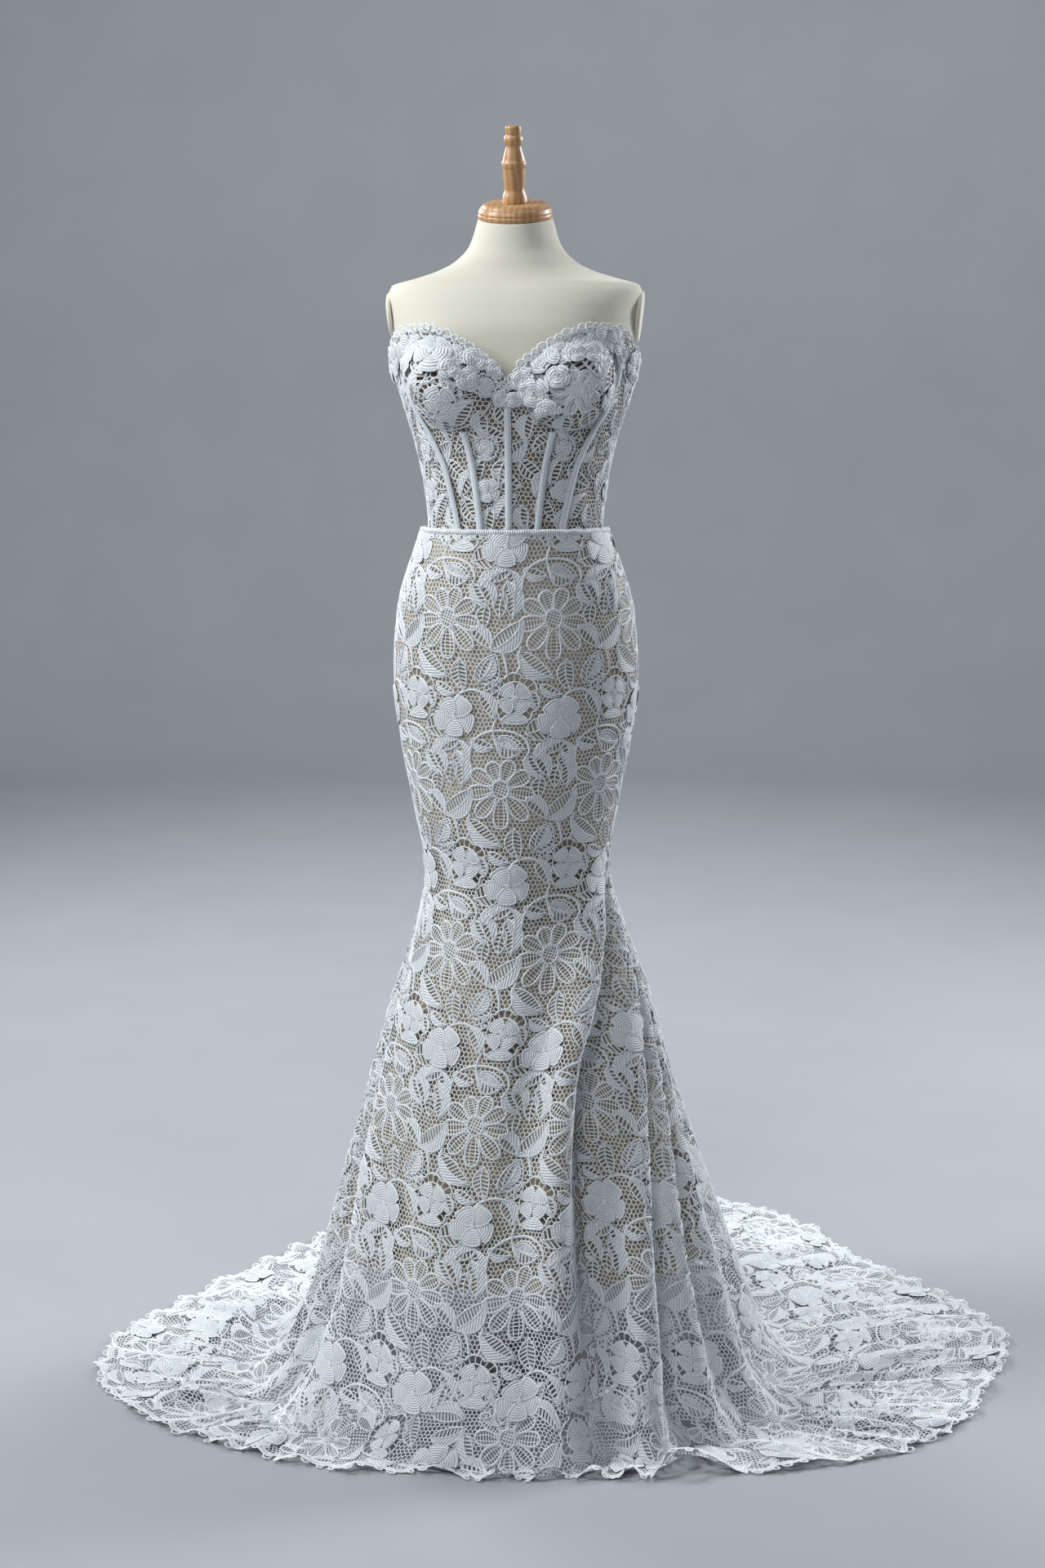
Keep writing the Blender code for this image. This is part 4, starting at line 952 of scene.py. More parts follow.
def lace_finish(name, light, dark, roughness, depth):
    """Cotton thread: twisted, with fine fibres, a slow change of white, and painted shade in the
    grooves of its twist.
    """
    nodes = Nodes(name, light, roughness, Sheen_Weight=0.2, Sheen_Roughness=0.5)
    slow = nodes.noise(14.0, 3.0)
    twist = nodes.wave(ONE_WAVE, nodes.place(layer="Ribs"), 0.4)
    fine = nodes.noise(2200.0, 3.0)
    # The darker colour stands partly for random tone and partly for painted shade in the twist's
    # grooves.
    nodes.colours(nodes.mix(slow, 0.55, twist), (0.20, dark), (0.65, light))
    nodes.rough(fine, roughness - 0.08, roughness + 0.12)
    nodes.bump(nodes.maths("ADD", twist, nodes.maths("MULTIPLY", fine, 0.6)), 0.6, depth)
    return nodes.material


def satin_stitch_finish(name, light, middle, dark):
    """Close ribs of satin stitch, with painted shade darkening the groove between two ribs."""
    nodes = Nodes(name, light, 0.55, Sheen_Weight=0.2, Sheen_Roughness=0.4)
    rows = nodes.wave(ONE_WAVE, nodes.place(layer="Ribs"), 0.6)
    fine = nodes.noise(1800.0, 2.0)
    # The dark colour is painted shade in the grooves between the ribs.
    nodes.colours(rows, (0.0, dark), (0.28, middle), (0.8, light))
    nodes.rough(fine, 0.45, 0.65)
    nodes.bump(nodes.maths("ADD", rows, nodes.maths("MULTIPLY", fine, 0.2)), 0.9, 0.0007)
    return nodes.material


def woven_finish(name, light, dark, roughness, pitch, depth, sheen=0.0):
    """A plain weave: two sets of threads, with a slow change of shade. Only the pieces
    with a sheen have a map of their cloth."""
    nodes = Nodes(name, light, roughness, Sheen_Weight=sheen)
    layer = "Cloth" if sheen else None
    warp, weft = (nodes.wave(pitch, nodes.place(layer=layer), 0.6, bands)
                  for bands in ("X", "Y" if sheen else "Z"))
    weave = nodes.maths("MULTIPLY", warp, weft)
    slow = nodes.noise(9.0, 3.0)
    nodes.colours(nodes.mix(weave, 0.35, slow), (0.25, dark), (0.65, light))
    nodes.rough(slow, roughness - 0.07, roughness + 0.07)
    nodes.bump(weave, 0.5, depth)
    return nodes.material


def wood_finish():
    nodes = Nodes("wood", (0.62, 0.38, 0.18), 0.38, Coat_Weight=0.25, Coat_Roughness=0.25)
    grain = nodes.wave(40.0, nodes.place((1.0, 1.0, 0.12)), 6.0)
    fine = nodes.noise(60.0, 5.0, nodes.place((9.0, 9.0, 0.8)))
    mix = nodes.mix(grain, 0.35, fine)
    nodes.colours(mix, (0.2, (0.42, 0.21, 0.085)), (0.5, (0.56, 0.31, 0.14)),
                  (0.8, (0.66, 0.40, 0.19)))
    nodes.rough(fine, 0.30, 0.50)
    nodes.bump(mix, 0.25, 0.0004)
    return nodes.material


def metal_finish():
    nodes = Nodes("metal", (0.55, 0.55, 0.56), 0.5, Metallic=1.0)
    fine = nodes.noise(900.0, 3.0, nodes.place((1.0, 1.0, 0.05)))
    nodes.colours(fine, (0.3, (0.46, 0.46, 0.47)), (0.7, (0.62, 0.62, 0.63)))
    nodes.rough(fine, 0.45, 0.60)
    nodes.bump(fine, 0.2, 0.0002)
    return nodes.material


# The skirt


def skirt_columns():
    """For every fine column round the skirt: its two folds and its share between them."""
    columns, edges = [], [0]
    for panel, after in zip(PANELS, PANELS[1:] + [None]):
        folds = panel.folds + [after.folds[0] if after else CENTRE_BACK]
        for left, right in zip(folds, folds[1:]):
            columns += [(left, right, step / FINE_COLUMNS) for step in range(FINE_COLUMNS)]
        edges.append(len(columns))
    columns.append((columns[-1][1], CENTRE_BACK, 0.0))
    return columns, edges


def shares(columns):
    """Each column's share between its folds, and the same with rounded turns."""
    share = np.array([column[2] for column in columns])
    return share, share - ROUND_FOLDS * np.sin(FULL_TURN * share) / FULL_TURN


def fold_fields(columns, heights):
    """The angle and the stand-out of every column at every height, with a rounded crest
    and valley at each fold."""
    share, ease = shares(columns)
    angle, stand = np.zeros((2, len(heights), len(columns)))
    for side, weight, ease_weight in ((0, 1 - share, 1 - ease), (1, share, ease)):
        for k, column in enumerate(columns):
            fold = column[side]
            angles = (fold.floor, fold.shin, fold.calf, fold.knee, fold.waist)
            outs = [out / 1000 for out in (fold.out_floor, fold.out_shin, fold.out_calf, 0, 0)]
            angle[:, k] += weight[k] * along(FOLD_HEIGHTS, angles, heights)
            stand[:, k] += ease_weight[k] * along(FOLD_HEIGHTS, outs, heights)
    return angle, stand


def train_grid(columns, ground):
    """The cloth that lies on the floor, from where it comes down to its hem."""
    ease = shares(columns)[1]
    hem_angle, low, high = np.array([
        ((1 - t) * left.hem + t * right.hem, left.out_floor / 1000, right.out_floor / 1000)
        for left, right, t in columns]).T
    reach = along(*zip(*HEM), hem_angle)
    turn = np.radians(hem_angle)
    hem = np.stack((reach * np.sin(turn), -reach * np.cos(turn), 0 * reach), 1)
    fold = np.maximum(0.0, (1 - ease) * low + ease * high)
    room = np.minimum(1.0, np.linalg.norm(hem - ground, axis=1) / RIPPLE_ROOM)
    along_hem = distances(hem)
    part = np.linspace(0, 1, TRAIN_ROWS + 1)[1:, None]
    points = ground + part[..., None] * (hem - ground)
    points[..., 2] = fold * room * np.sin(math.pi * part)
    # Loose ripples run outwards, some of them gathered closely, and the hem flutters
    w = along_hem * FULL_TURN
    wander = w + 1.6 * np.sin(w / 0.47) + 0.05 * w * np.sin(w / 1.9)
    gather = 0.55 + 0.45 * np.sin(w / 0.63 + 1)
    broad = 0.5 + 0.5 * np.sin(wander / 0.150 + 3 * part)
    narrow = 0.5 + 0.5 * np.sin(wander / 0.064 - 6 * part + np.sin(w / 0.21))
    # Both die away at the seam in the middle of the back, where the two sides meet
    from_seam = np.minimum(along_hem, along_hem[-1] - along_hem)
    seam = np.sin(np.minimum(1.0, from_seam / SEAM_ROOM) * math.pi / 2)
    ripple = seam * (BROAD_RIPPLE * broad + NARROW_RIPPLE * gather * narrow ** 1.5)
    points[..., 2] += ripple * room * np.sin(math.pi * np.minimum(part * 1.12, 0.93)) ** 0.7
    uneven = w + 0.22 * np.sin(w / 0.47)
    flutter = 0.5 + 0.5 * np.sin(uneven / 0.066 + 0.8 * np.sin(w / 0.33))
    lively = 1 + 0.8 * np.exp(-((hem_angle - 20) / 24) ** 2)
    points[..., 2] += FLUTTER * lively * seam * flutter ** 1.3 * part ** 4
    # The hem curls up where the front panel's fold ends
    curl = np.exp(-((hem_angle - CURL_ANGLE) / 4.2) ** 2) * part ** 2.2
    points[..., 2] += CURL_UP * curl
    points[..., :2] -= (CURL_IN * curl)[..., None] * unit(hem[:, :2])
    return points


def skirt_grid():
    """The whole lace skirt as one grid, with where each panel starts, its normals and
    each point's distance from the hem."""
    columns, edges = skirt_columns()
    heights = np.linspace(WAIST, 0.0, int(round(WAIST / ROW_STEP)) + 1)
    angle, out = fold_fields(columns, heights)
    stands = section_points(SKIRT, angle, heights[:, None], out)
    points = np.concatenate((stands, train_grid(columns, stands[-1])))
    # The cloth turns onto the floor in a bend, not in a crease
    bend = len(heights) - 1
    for _ in range(BEND_ROUNDS):
        before, near, after = (points[bend - BEND_ROWS + k:bend + BEND_ROWS + k]
                               for k in (-1, 0, 1))
        points[bend - BEND_ROWS:bend + BEND_ROWS] = (before + 2 * near + after) / 4
    normals = grid_normals(points)
    # The seam at the centre back has the same normals on both sides
    normals[:, 0] = normals[:, -1] = unit(normals[:, 0] + normals[:, -1])
    column, row = np.arange(points.shape[1]), np.arange(len(points))[:, None]
    wave = np.sin(0.14 * column + 0.16 * row) + np.sin(0.09 * column - 0.23 * row + 2)
    points += normals * (UNEVEN * wave * (points[..., 2] > OFF_FLOOR))[..., None]
    return columns, edges, points, normals, distances(points[::-1])[::-1]


def above_border(reach, motif):
    """The mesh ends where the border's begins, and motifs reach a little into it."""
    return reach > np.where(motif, BORDER_DEEP - MOTIF_OVERLAP, BORDER_DEEP - BORDER_OVERLAP) * MM


# The roll at the waist: how far down and how far off the skirt its shape passes
ROLL = ((0.2, 0.3), (0.8, 2.5), (2.6, 4.0), (5.4, 4.0), (7.4, 2.5), (8.2, 0.3))


def waist_roll(left, right):
    """The soft gathered roll of the casing at the waist, with a row of loops under it."""
    roll = Lace()
    edge = np.linspace(left, right, 120)
    sag, swell = 0.4 * np.sin(edge / 5.0), 1 + 0.10 * np.sin(edge / 2.7)
    lines = [np.stack((edge, down + sag, high * swell), 1) for down, high in ROLL]
    faces = split(grid_faces(len(ROLL), len(edge)))
    roll.add(np.vstack(lines), faces, SATIN, (0, RIB_PITCH))
    for k, across in enumerate(np.arange(left + 4, right - 3, 7.5)):
        ring = round_line(3.4, 7, start=40 * k) + (across, 10.4 + 0.8 * math.sin(2.1 * k))
        roll.cord(ring, 2.0, 1.4, 0.9, closed=True)
    return roll.merged()


def add_skirt_lace(pattern, border, finishes):
    columns, edges, points, normals, from_hem = skirt_grid()
    knee = int(round((WAIST - KNEE) / ROW_STEP))
    hem_length = distances(points[-1])
    repeats = round(hem_length[-1] / (BORDER_REPEAT * MM))
    stretch = hem_length[-1] / (repeats * BORDER_REPEAT * MM)
    # The border's rows start high enough above the hem on every side
    first = int((from_hem.min(1) > BORDER_ROWS).sum()) - 1
    beyond = points[-1] + unit((points[-1] - points[-3]) * (1, 1, 0)) * BEYOND_HEM
    for panel, start, end in zip(PANELS, edges, edges[1:]):
        span = slice(start, end + 1)
        top, down = (knee, WAIST_TO_KNEE) if panel.from_knee else (0, 0.0)
        own = points[top:, span]
        across = distances(own, 1)
        middle = int(round(panel.middle * FINE_COLUMNS))
        across = across - across[:, middle:middle + 1]
        cloth = Cloth(own, normals[top:, span], across, from_hem[top:, span])
        worked = Worked(cloth)
        rows_down = int(cloth.down.max() / (DROP * MM)) + 2
        for shift in bricks(REPEAT, DROP, range(-5, 6), range(-1, rows_down)):
            worked.lay(pattern, shift + SKIRT_SHIFT - (0, down), above_border)
        if not panel.from_knee:
            worked.lay(waist_roll(cloth.left[0] / MM, cloth.right[0] / MM))
        low = np.concatenate((points[first:, span], beyond[None, span]))
        low_normals = np.concatenate((normals[first:, span], normals[-1:, span]))
        down = np.concatenate((-from_hem[first:, span], np.full((1, low.shape[1]), BEYOND_HEM)))
        along_hem = np.broadcast_to(hem_length[span] / stretch, low.shape[:2])
        worked.cloth = Cloth(low, low_normals, along_hem, down=down)
        for k in range(repeats):
            worked.lay(border, (k * BORDER_REPEAT, 0.0))
        obj = worked.made(panel.name, finishes, "lace")
        declare(obj, own)
    return columns, edges


def add_skirt_lining(columns, edges, finish):
    """The lining hangs a little way inside the lace and follows its folds."""
    heights = np.linspace(LINING_TOP, LINING_HEM, 95)
    angle, out = fold_fields(columns, heights)
    share = np.clip((KNEE - heights) / FOLDS_START, 0.0, 1.0)[:, None]
    margin = CLOSE_LINING + (LOOSE_LINING - CLOSE_LINING) * share
    points = section_points(SKIRT, angle, heights[:, None], LINING_FOLDS * out - margin)
    for name, first, last in (("back_left", 0, 1), ("front", 1, 4), ("back_right", 4, 5)):
        own = points[:, edges[first]:edges[last] + 1]
        declare(add_sheet("skirt_lining_" + name, own, finish, "lining"), own)


# The bodice


def near_bust(angle, height, centre, spread):
    across = (np.abs(angle) - centre[0]) / spread[0]
    up = (height - centre[1]) / spread[1]
    return across * across + up * up


def worn_points(angle, height):
    bust = BUST_HEIGHT * np.exp(-near_bust(angle, height, BUST, BUST_SPREAD))
    return section_points(FORM, angle, height, bust)


def worn_normals(angle, height):
    across = worn_points(angle + 0.8, height) - worn_points(angle - 0.8, height)
    up = worn_points(angle, height + 0.002) - worn_points(angle, height - 0.002)
    return unit(np.cross(across, up))


def top_edge(angle):
    return along(*zip(*TOP_EDGE), np.abs(angle))


def cup_seam(angle):
    return along(*zip(*CUP_SEAM), np.abs(angle))


def bodice_foot(angle):
    return BODICE_FOOT + 0 * angle


def cup_lift(angle, height):
    """How far a cup stands off the worn shape: a dome that starts at the cup's seam."""
    dome = np.maximum(0.0, 1 - near_bust(angle, height, CUP_CENTRE, CUP_SPREAD))
    rise = (height - cup_seam(angle)) / CUP_STEP
    return CUP_HEIGHT * dome * np.clip(rise, 0.0, 1.0)


def line_angle(line, height):
    """The angle of a line that runs up the bodice, at a height."""
    seams = (0 * height, angle_of(INNER_BONE, height), angle_of(OUTER_BONE, height),
             SIDE_BACK + 0 * height, BACK + 0 * height)
    numbers = (0, INNER_SEAM, OUTER_SEAM, SIDE_SEAM, CENTRE_SEAM)
    found = np.zeros_like(height)
    size = np.abs(line)
    for k in range(4):
        share = (size - numbers[k]) / (numbers[k + 1] - numbers[k])
        here = (share >= 0) & (share <= 1)
        found = np.where(here, (1 - share) * seams[k] + share * seams[k + 1], found)
    return np.copysign(found, line)


def bodice_grid(first, last, low, high, layer, lift, step, rows):
    """Points, angles and heights over a part of the bodice, its rows from top to foot."""
    line = np.linspace(first, last, int(round((last - first) / step)) + 1)
    share = np.linspace(1, 0, rows)[:, None]
    line = np.broadcast_to(line, (rows, len(line)))
    height = np.full(line.shape, WAIST)
    for _ in range(8):
        angle = line_angle(line, height)
        height = (1 - share) * low(angle) + share * high(angle)
    off = layer + (lift(angle, height) if lift else 0.0)
    points = worn_points(angle, height)
    return points + worn_normals(angle, height) * np.asarray(off)[..., None], angle, height


def bodice_flat(angle, height):
    """Where a point of the bodice lies on its flat pattern, in millimetres: across from
    the centre front, and down from a line above the neckline."""
    angle, height = np.asarray(angle, float), np.asarray(height, float)
    radius = along([s.height for s in FORM], [(s.half_width + s.front) / 2 for s in FORM], height)
    return np.stack((np.radians(angle) * (radius + FLAT_OFF), FLAT_TOP - height), -1) / MM


def cup_centre(side):
    """Where a cup's large motif lies on the flat pattern. The rose lies lower."""
    return bodice_flat(side * CUP_MOTIF[0], CUP_MOTIF[1] - (ROSE_DROP if side < 0 else 0.0))


def bodice_cloth(points, angle, height):
    """Cloth whose pattern runs on from one bodice piece to the next. Its reach is the
    distance from the cup's motif."""
    flat = bodice_flat(angle, height)
    reach = np.linalg.norm(flat - cup_centre(1 if angle.mean() > 0 else -1), axis=-1)
    return Cloth(points, grid_normals(points), flat[..., 0] * MM, reach * MM, flat[..., 1] * MM)


def cup_wire(side):
    """The corded channel of the wire, along the lower edge of a cup."""
    angle = np.linspace(4.0, 57.0, 50)
    wire = Lace()
    wire.cord(bodice_flat(side * angle, cup_seam(angle) + 0.002), 2.2, 1.5, 0.3)
    return wire.merged()


def cup_motif(side):
    """The large motif worked into a cup: a daisy in one, and a rose in the other."""
    motif = Lace()
    draw, start = (daisy, 100.0) if side > 0 else (rose, 20)
    draw(motif, cup_centre(side), CUP_MOTIF_RADIUS, start)
    return motif.merged()


def add_bodice(pattern, finishes, lining):
    half = (
        ("side_front", INNER_SEAM, OUTER_SEAM, bodice_foot, cup_seam, None),
        ("cup", 0.5, OUTER_SEAM, cup_seam, top_edge, cup_lift),
        ("side", OUTER_SEAM, SIDE_SEAM, bodice_foot, top_edge, None),
        ("back", SIDE_SEAM, CENTRE_SEAM, bodice_foot, top_edge, None),
    )
    pieces = [("front", -INNER_SEAM, INNER_SEAM, bodice_foot, cup_seam, None)]
    for name, first, last, *shape in half:
        pieces.append((name + "_left", first, last, *shape))
        pieces.append((name + "_right", -last, -first, *shape))
    for name, first, last, low, high, lift in pieces:
        rows = 22 if lift else 30
        grid = bodice_grid(first, last, low, high, LACE_LAYER, lift, LACE_STEP, rows)
        worked = Worked(bodice_cloth(*grid))
        # The cups' nets and motifs leave room for their large motif
        room = CUP_MOTIF_RADIUS * MM if lift else 0.0
        for shift in bricks(BODICE_REPEAT, BODICE_DROP, range(-6, 7), range(-2, 3)):
            worked.lay(pattern, shift + BODICE_SHIFT,
                       lambda reach, motif: reach >= np.where(motif, 0.85, 0.7) * room)
        if lift:
            side = 1 if first > 0 else -1
            worked.lay(cup_wire(side))
            worked.lay(cup_motif(side))
        obj = worked.made("bodice_lace_" + name, finishes, "lace")
        declare(obj, grid[0])
    # The bodice's lining pieces take the darker lining finish, whose colour is painted shade.
    for name, first, last in (("front", -SIDE_SEAM, SIDE_SEAM),
                              ("back_left", SIDE_SEAM, CENTRE_SEAM),
                              ("back_right", -CENTRE_SEAM, -SIDE_SEAM)):
        points, _, _ = bodice_grid(first, last, bodice_foot,
                                   lambda angle: top_edge(angle) - LINING_DROP,
                                   LINING_LAYER + 0.6 * LINING,
                                   lambda angle, height: 0.7 * cup_lift(angle, height),
                                   LINING_STEP, 44)
        obj = add_sheet("bodice_lining_" + name, points, lining, "lining")
        declare(obj, points)


# The sections of a bone's channel and of a placket, as shares of their width and depth
CHANNEL = ((-0.50, 0.0), (-0.49, 0.5), (-0.40, 0.42), (-0.33, 0.85), (-0.15, 1.0),
           (0.15, 1.0), (0.33, 0.85), (0.40, 0.42), (0.49, 0.5), (0.50, 0.0))
GROOVE = (0.40, 0.40)
PLACKET = ((-0.5, 0.0), (-0.49, 0.75), (-0.40, 0.80), (-0.34, 1.0), (0.0, 1.05), (0.34, 1.0),
           (0.40, 0.80), (0.49, 0.75), (0.5, 0.0))
# A stitch is a ridge with two corners at its left, two at its right and two on top
STITCH = np.array(((0, 1, 5), (0, 5, 4), (1, 3, 5), (4, 5, 3), (4, 3, 2), (0, 4, 2)))
STITCH_LENGTH, STITCH_PITCH, STITCH_HALF, STITCH_RISE = 0.0024, 0.0034, 0.0004, 0.0005


def swept(centre, across, normals, width, depth, section):
    """A section carried along a line, as a grid."""
    return np.stack([centre + across * wide * width + normals * depth * up
                     for wide, up in section], 1)


def add_bone(name, line, high, side, finishes):
    """A satin channel with a row of stitches in the groove along each edge."""
    height = np.linspace(WAIST - 0.004, high, 60)
    angle = side * (angle_of(line, height) if line else 0 * height)
    normals = worn_normals(angle, height)
    across = unit(worn_points(angle + 0.5, height) - worn_points(angle - 0.5, height))
    centre = worn_points(angle, height) + normals * ON_LACE
    points = swept(centre, across, normals, BONE_WIDTH, BONE_DEPTH, CHANNEL)
    rows, columns = points.shape[:2]
    ends = [[row * columns + k for k in (0, 1, 8, 9)] for row in (0, rows - 1)]
    faces = split(np.vstack((grid_faces(rows, columns), ends)))
    wide = np.array(CHANNEL)[:, 0] * BONE_WIDTH
    flats = [np.stack(np.broadcast_arrays(wide, height[:, None]), -1).reshape(-1, 2)]
    corners = [points.reshape(-1, 3)]
    length = distances(centre)
    for wide in (-GROOVE[0] * BONE_WIDTH, GROOVE[0] * BONE_WIDTH):
        for start in np.arange(0.002, length[-1] - 0.003, STITCH_PITCH):
            middle, out, aside = (between((start, start + STITCH_LENGTH), length, field)
                                  for field in (centre, normals, across))
            base = middle + aside * wide + out * BONE_DEPTH * GROOVE[1]
            rim = aside * STITCH_HALF
            corners.append(np.vstack((base - rim, base + rim, base + out * STITCH_RISE)))
            flats.append(np.tile((wide, start), (6, 1)))
    firsts = rows * columns + 6 * np.arange(len(corners) - 1)
    stitches = (firsts[:, None, None] + STITCH).reshape(-1, 3)
    add_mesh("bone_channel_" + name, np.vstack(corners), np.vstack((faces, stitches)), finishes,
             "satin", np.repeat((0, 1), (len(faces), len(stitches))), np.vstack(flats))


def add_bones(*finishes):
    add_bone("centre", None, float(cup_seam(0.0)) - 0.006, 1, finishes)
    for side, end, high in ((1, "left", 1.342), (-1, "right", 1.326)):
        add_bone("inner_" + end, INNER_BONE, 1.262, side, finishes)
        add_bone("outer_" + end, OUTER_BONE, high, side, finishes)


# Motifs along the neckline: angle, height, radius, turn and whether it is a rose. Those
# of the back are the same on both sides.
NECKLINE_RIGHT = (
    (2.5, 1.300, 10, 20, False), (4.5, 1.334, 11, 60, False), (9.5, 1.316, 13, 0, True),
    (12.5, 1.343, 14, 35, False), (17.0, 1.322, 12, 80, False), (20.5, 1.352, 14, 10, True),
    (23.5, 1.333, 10, 20, False), (44.5, 1.346, 15, 70, False), (30.0, 1.351, 22, 50, False),
    (42.0, 1.366, 16, 10, True), (50.0, 1.357, 19, 20, False), (62.0, 1.353, 17, 0, False),
    (73.0, 1.346, 15, 40, True),
)
NECKLINE_LEFT = (
    (3.0, 1.299, 10, 40, False), (7.0, 1.322, 13, 0, False), (12.5, 1.307, 17, 30, False),
    (19.5, 1.291, 13, 75, False), (13.5, 1.342, 13, 10, True), (21.0, 1.349, 15, 45, False),
    (22.0, 1.324, 11, 15, False), (30.5, 1.361, 16, 20, True), (40.0, 1.365, 17, 60, False),
    (50.5, 1.367, 17, 5, False), (60.0, 1.355, 17, 40, True), (72.0, 1.345, 16, 10, False),
    (35.0, 1.349, 13, 30, False), (28.0, 1.347, 11, 0, False),
)
NECKLINE_BACK = (
    (84, 1.337, 15, 15, False), (96, 1.334, 15, 60, True), (108, 1.328, 15, 20, False),
    (120, 1.321, 15, 0, False), (132, 1.315, 15, 40, True), (144, 1.309, 15, 10, False),
    (156, 1.303, 15, 30, False), (168, 1.298, 15, 50, True),
)


def neckline_band(side):
    """Raised flowers, roses, leaves and loops over one half of the neckline, drawn on the
    bodice's flat pattern."""
    lace = Lace()
    flowers = (NECKLINE_LEFT if side > 0 else NECKLINE_RIGHT) + NECKLINE_BACK
    for k, (angle, height, radius, turn, is_rose) in enumerate(flowers):
        place = bodice_flat(side * angle, height)
        if is_rose:
            rose(lace, place, radius, side * turn)
        else:
            satin_flower(lace, place, radius, side * turn, 1.2 + 1.0 * (k % 2), 1.6)
        if angle > 25:
            beside = bodice_flat(side * (angle + 6.0), height - 0.012)
            leaf(lace, beside, 90 - side * (35 if k % 2 else -30), 26, 14, (1, -1, 0)[k % 3])
    edge = np.linspace(0.5, 179.0, 240)
    line = bodice_flat(side * edge, top_edge(edge))
    lace.cord(line + (0, 1.0) - np.stack((0 * edge, 1.6 * np.abs(np.sin(line[:, 0] / 6))), 1),
              2.4, 1.6, 0.6)
    # Loops of the motifs stand up along the edge
    length = distances(line)
    for k, at in enumerate(np.arange(5.0, length[-1] - 4, 9.0)):
        ring = round_line(4.2 + 1.2 * math.sin(2.3 * k), 8, start=25 * k)
        ring = ring + between(at, length, line) - (0, 1.5 + 1.5 * math.sin(3.1 * k))
        lace.cord(ring, 2.6, 1.6, 1.0 + 1.4 * math.sin(1.7 * k) ** 2, closed=True)
    return lace.merged()


def add_neckline(finishes):
    for side, end in ((1, "left"), (-1, "right")):
        band = neckline_band(side)
        for name, first, last, lift, more in (
                ("cup", -0.8, OUTER_SEAM, cup_lift, 0.0010),
                ("side", OUTER_SEAM, SIDE_SEAM, None, 0.0),
                ("back", SIDE_SEAM, CENTRE_SEAM - 0.3, None, 0.0)):
            ends = (first, last) if side > 0 else (-last, -first)
            grid = bodice_grid(*ends, lambda angle: top_edge(angle) - BAND_BELOW,
                               lambda angle: top_edge(angle) + BAND_ABOVE,
                               ON_LACE - AIR_ON_LACE + more, lift, LACE_STEP, 26)
            worked = Worked(bodice_cloth(*grid))
            worked.lay(band)
            obj = worked.made(f"neckline_flowers_{name}_{end}", finishes, "applique")


# The closing


def add_closing(strip, button_finish):
    """A placket on the bodice and one on the skirt, with covered buttons."""
    aside = np.array((-1.0, 0.0, 0.0))
    bodice = np.linspace(WAIST + PLACKET_MARGIN, float(top_edge(BACK)) - PLACKET_MARGIN, 24)
    skirt = np.linspace(PLACKET_FOOT, LINING_TOP, 20)
    out = worn_normals(BACK, bodice)
    above, under = (section_points(SKIRT, BACK, skirt + step) for step in (0.004, -0.004))
    skirt_out = unit(np.cross(aside, above - under))
    on_skirt = section_points(SKIRT, BACK, skirt) + skirt_out * (LACE + PLACKET_GAP)
    count = 0
    for name, height, places, normals in (
            ("bodice_placket", bodice, worn_points(BACK, bodice) + out * ON_LACE, out),
            ("skirt_placket", skirt, on_skirt, skirt_out)):
        points = swept(places, aside, normals, PLACKET_WIDTH, PLACKET_DEPTH, PLACKET)
        add_sheet(name, points, strip, "satin")
        low, high = height[[0, -1]]
        buttons = int((high - low) / BUTTON_PITCH)
        for button in range(buttons):
            at = low + (button + 0.5) * (high - low) / buttons
            normal = unit(between(at, height, normals))
            place = between(at, height, places) + normal * (PLACKET_DEPTH + BUTTON_SHANK)
            count += 1
            add_button(f"button_{count:02d}", place, normal, button_finish)


def add_button(name, place, normal, finish):
    profile = ((0.5, 0.0), (0.8, 0.0002), (0.97, 0.0009), (1.0, 0.0018), (0.94, 0.0028),
               (0.76, 0.0037), (0.45, 0.0042), (0.12, 0.0044))
    turn = Vector(normal).to_track_quat("Z", "Y").to_matrix().to_4x4()
    turned_mesh(name, [(share * BUTTON_RADIUS, z) for share, z in profile],
                Matrix.Translation(place) @ turn, finish, "applique", 24)


# The form and its stand


def add_form(finish):
    height = np.concatenate([np.linspace(*rows) for rows in FORM_ROWS])
    height, angle = height[:, None], np.linspace(-180, 180, 121)[None, :-1]
    bust = np.exp(-near_bust(angle, height, BUST, BUST_SPREAD))
    points = section_points(FORM, angle, height, FORM_BUST * BUST_HEIGHT * bust)
    lean = np.clip((height - NECK_FOOT) / (NECK_TOP - NECK_FOOT), 0, 1) * math.tan(NECK_LEAN)
    points[..., 2] += lean * points[..., 1]
    flat = np.stack(np.broadcast_arrays(np.radians(angle) * FORM_ROUND, height), -1).reshape(-1, 2)
    closed_mesh("form_body", points, finish, "canvas", np.vstack((flat, (0, 0.8), (0, 1.52))))


def add_arm_plates(finish):
    """Padded plates close the armholes."""
    profile = ((1.02, -0.0010), (1.04, 0.0008), (1.04, 0.0026), (1.01, 0.0042), (0.93, 0.0050),
               (0.60, 0.0054), (0.10, 0.0055))
    across, *place_along = ARM_PLATE
    for name, side in (("arm_plate_right", -1), ("arm_plate_left", 1)):
        place = Matrix.Translation((side * across, *place_along))
        place = place @ Matrix.Rotation(side * (math.pi / 2 + PLATE_LEAN), 4, "Y")
        place = place @ Matrix.Diagonal((*PLATE_SIZE, 1.0, 1.0))
        turned_mesh(name, profile, place, finish, "canvas")


def rounded(profile, rounds=2):
    """A turned profile with its corners cut smooth, which keeps its two ends."""
    points = np.array(profile, float)
    for _ in range(rounds):
        near, far = points[:-1], points[1:]
        cut = np.stack((0.75 * near + 0.25 * far, 0.25 * near + 0.75 * far), 1).reshape(-1, 2)
        points = np.vstack((points[:1], cut, points[-1:]))
    return points


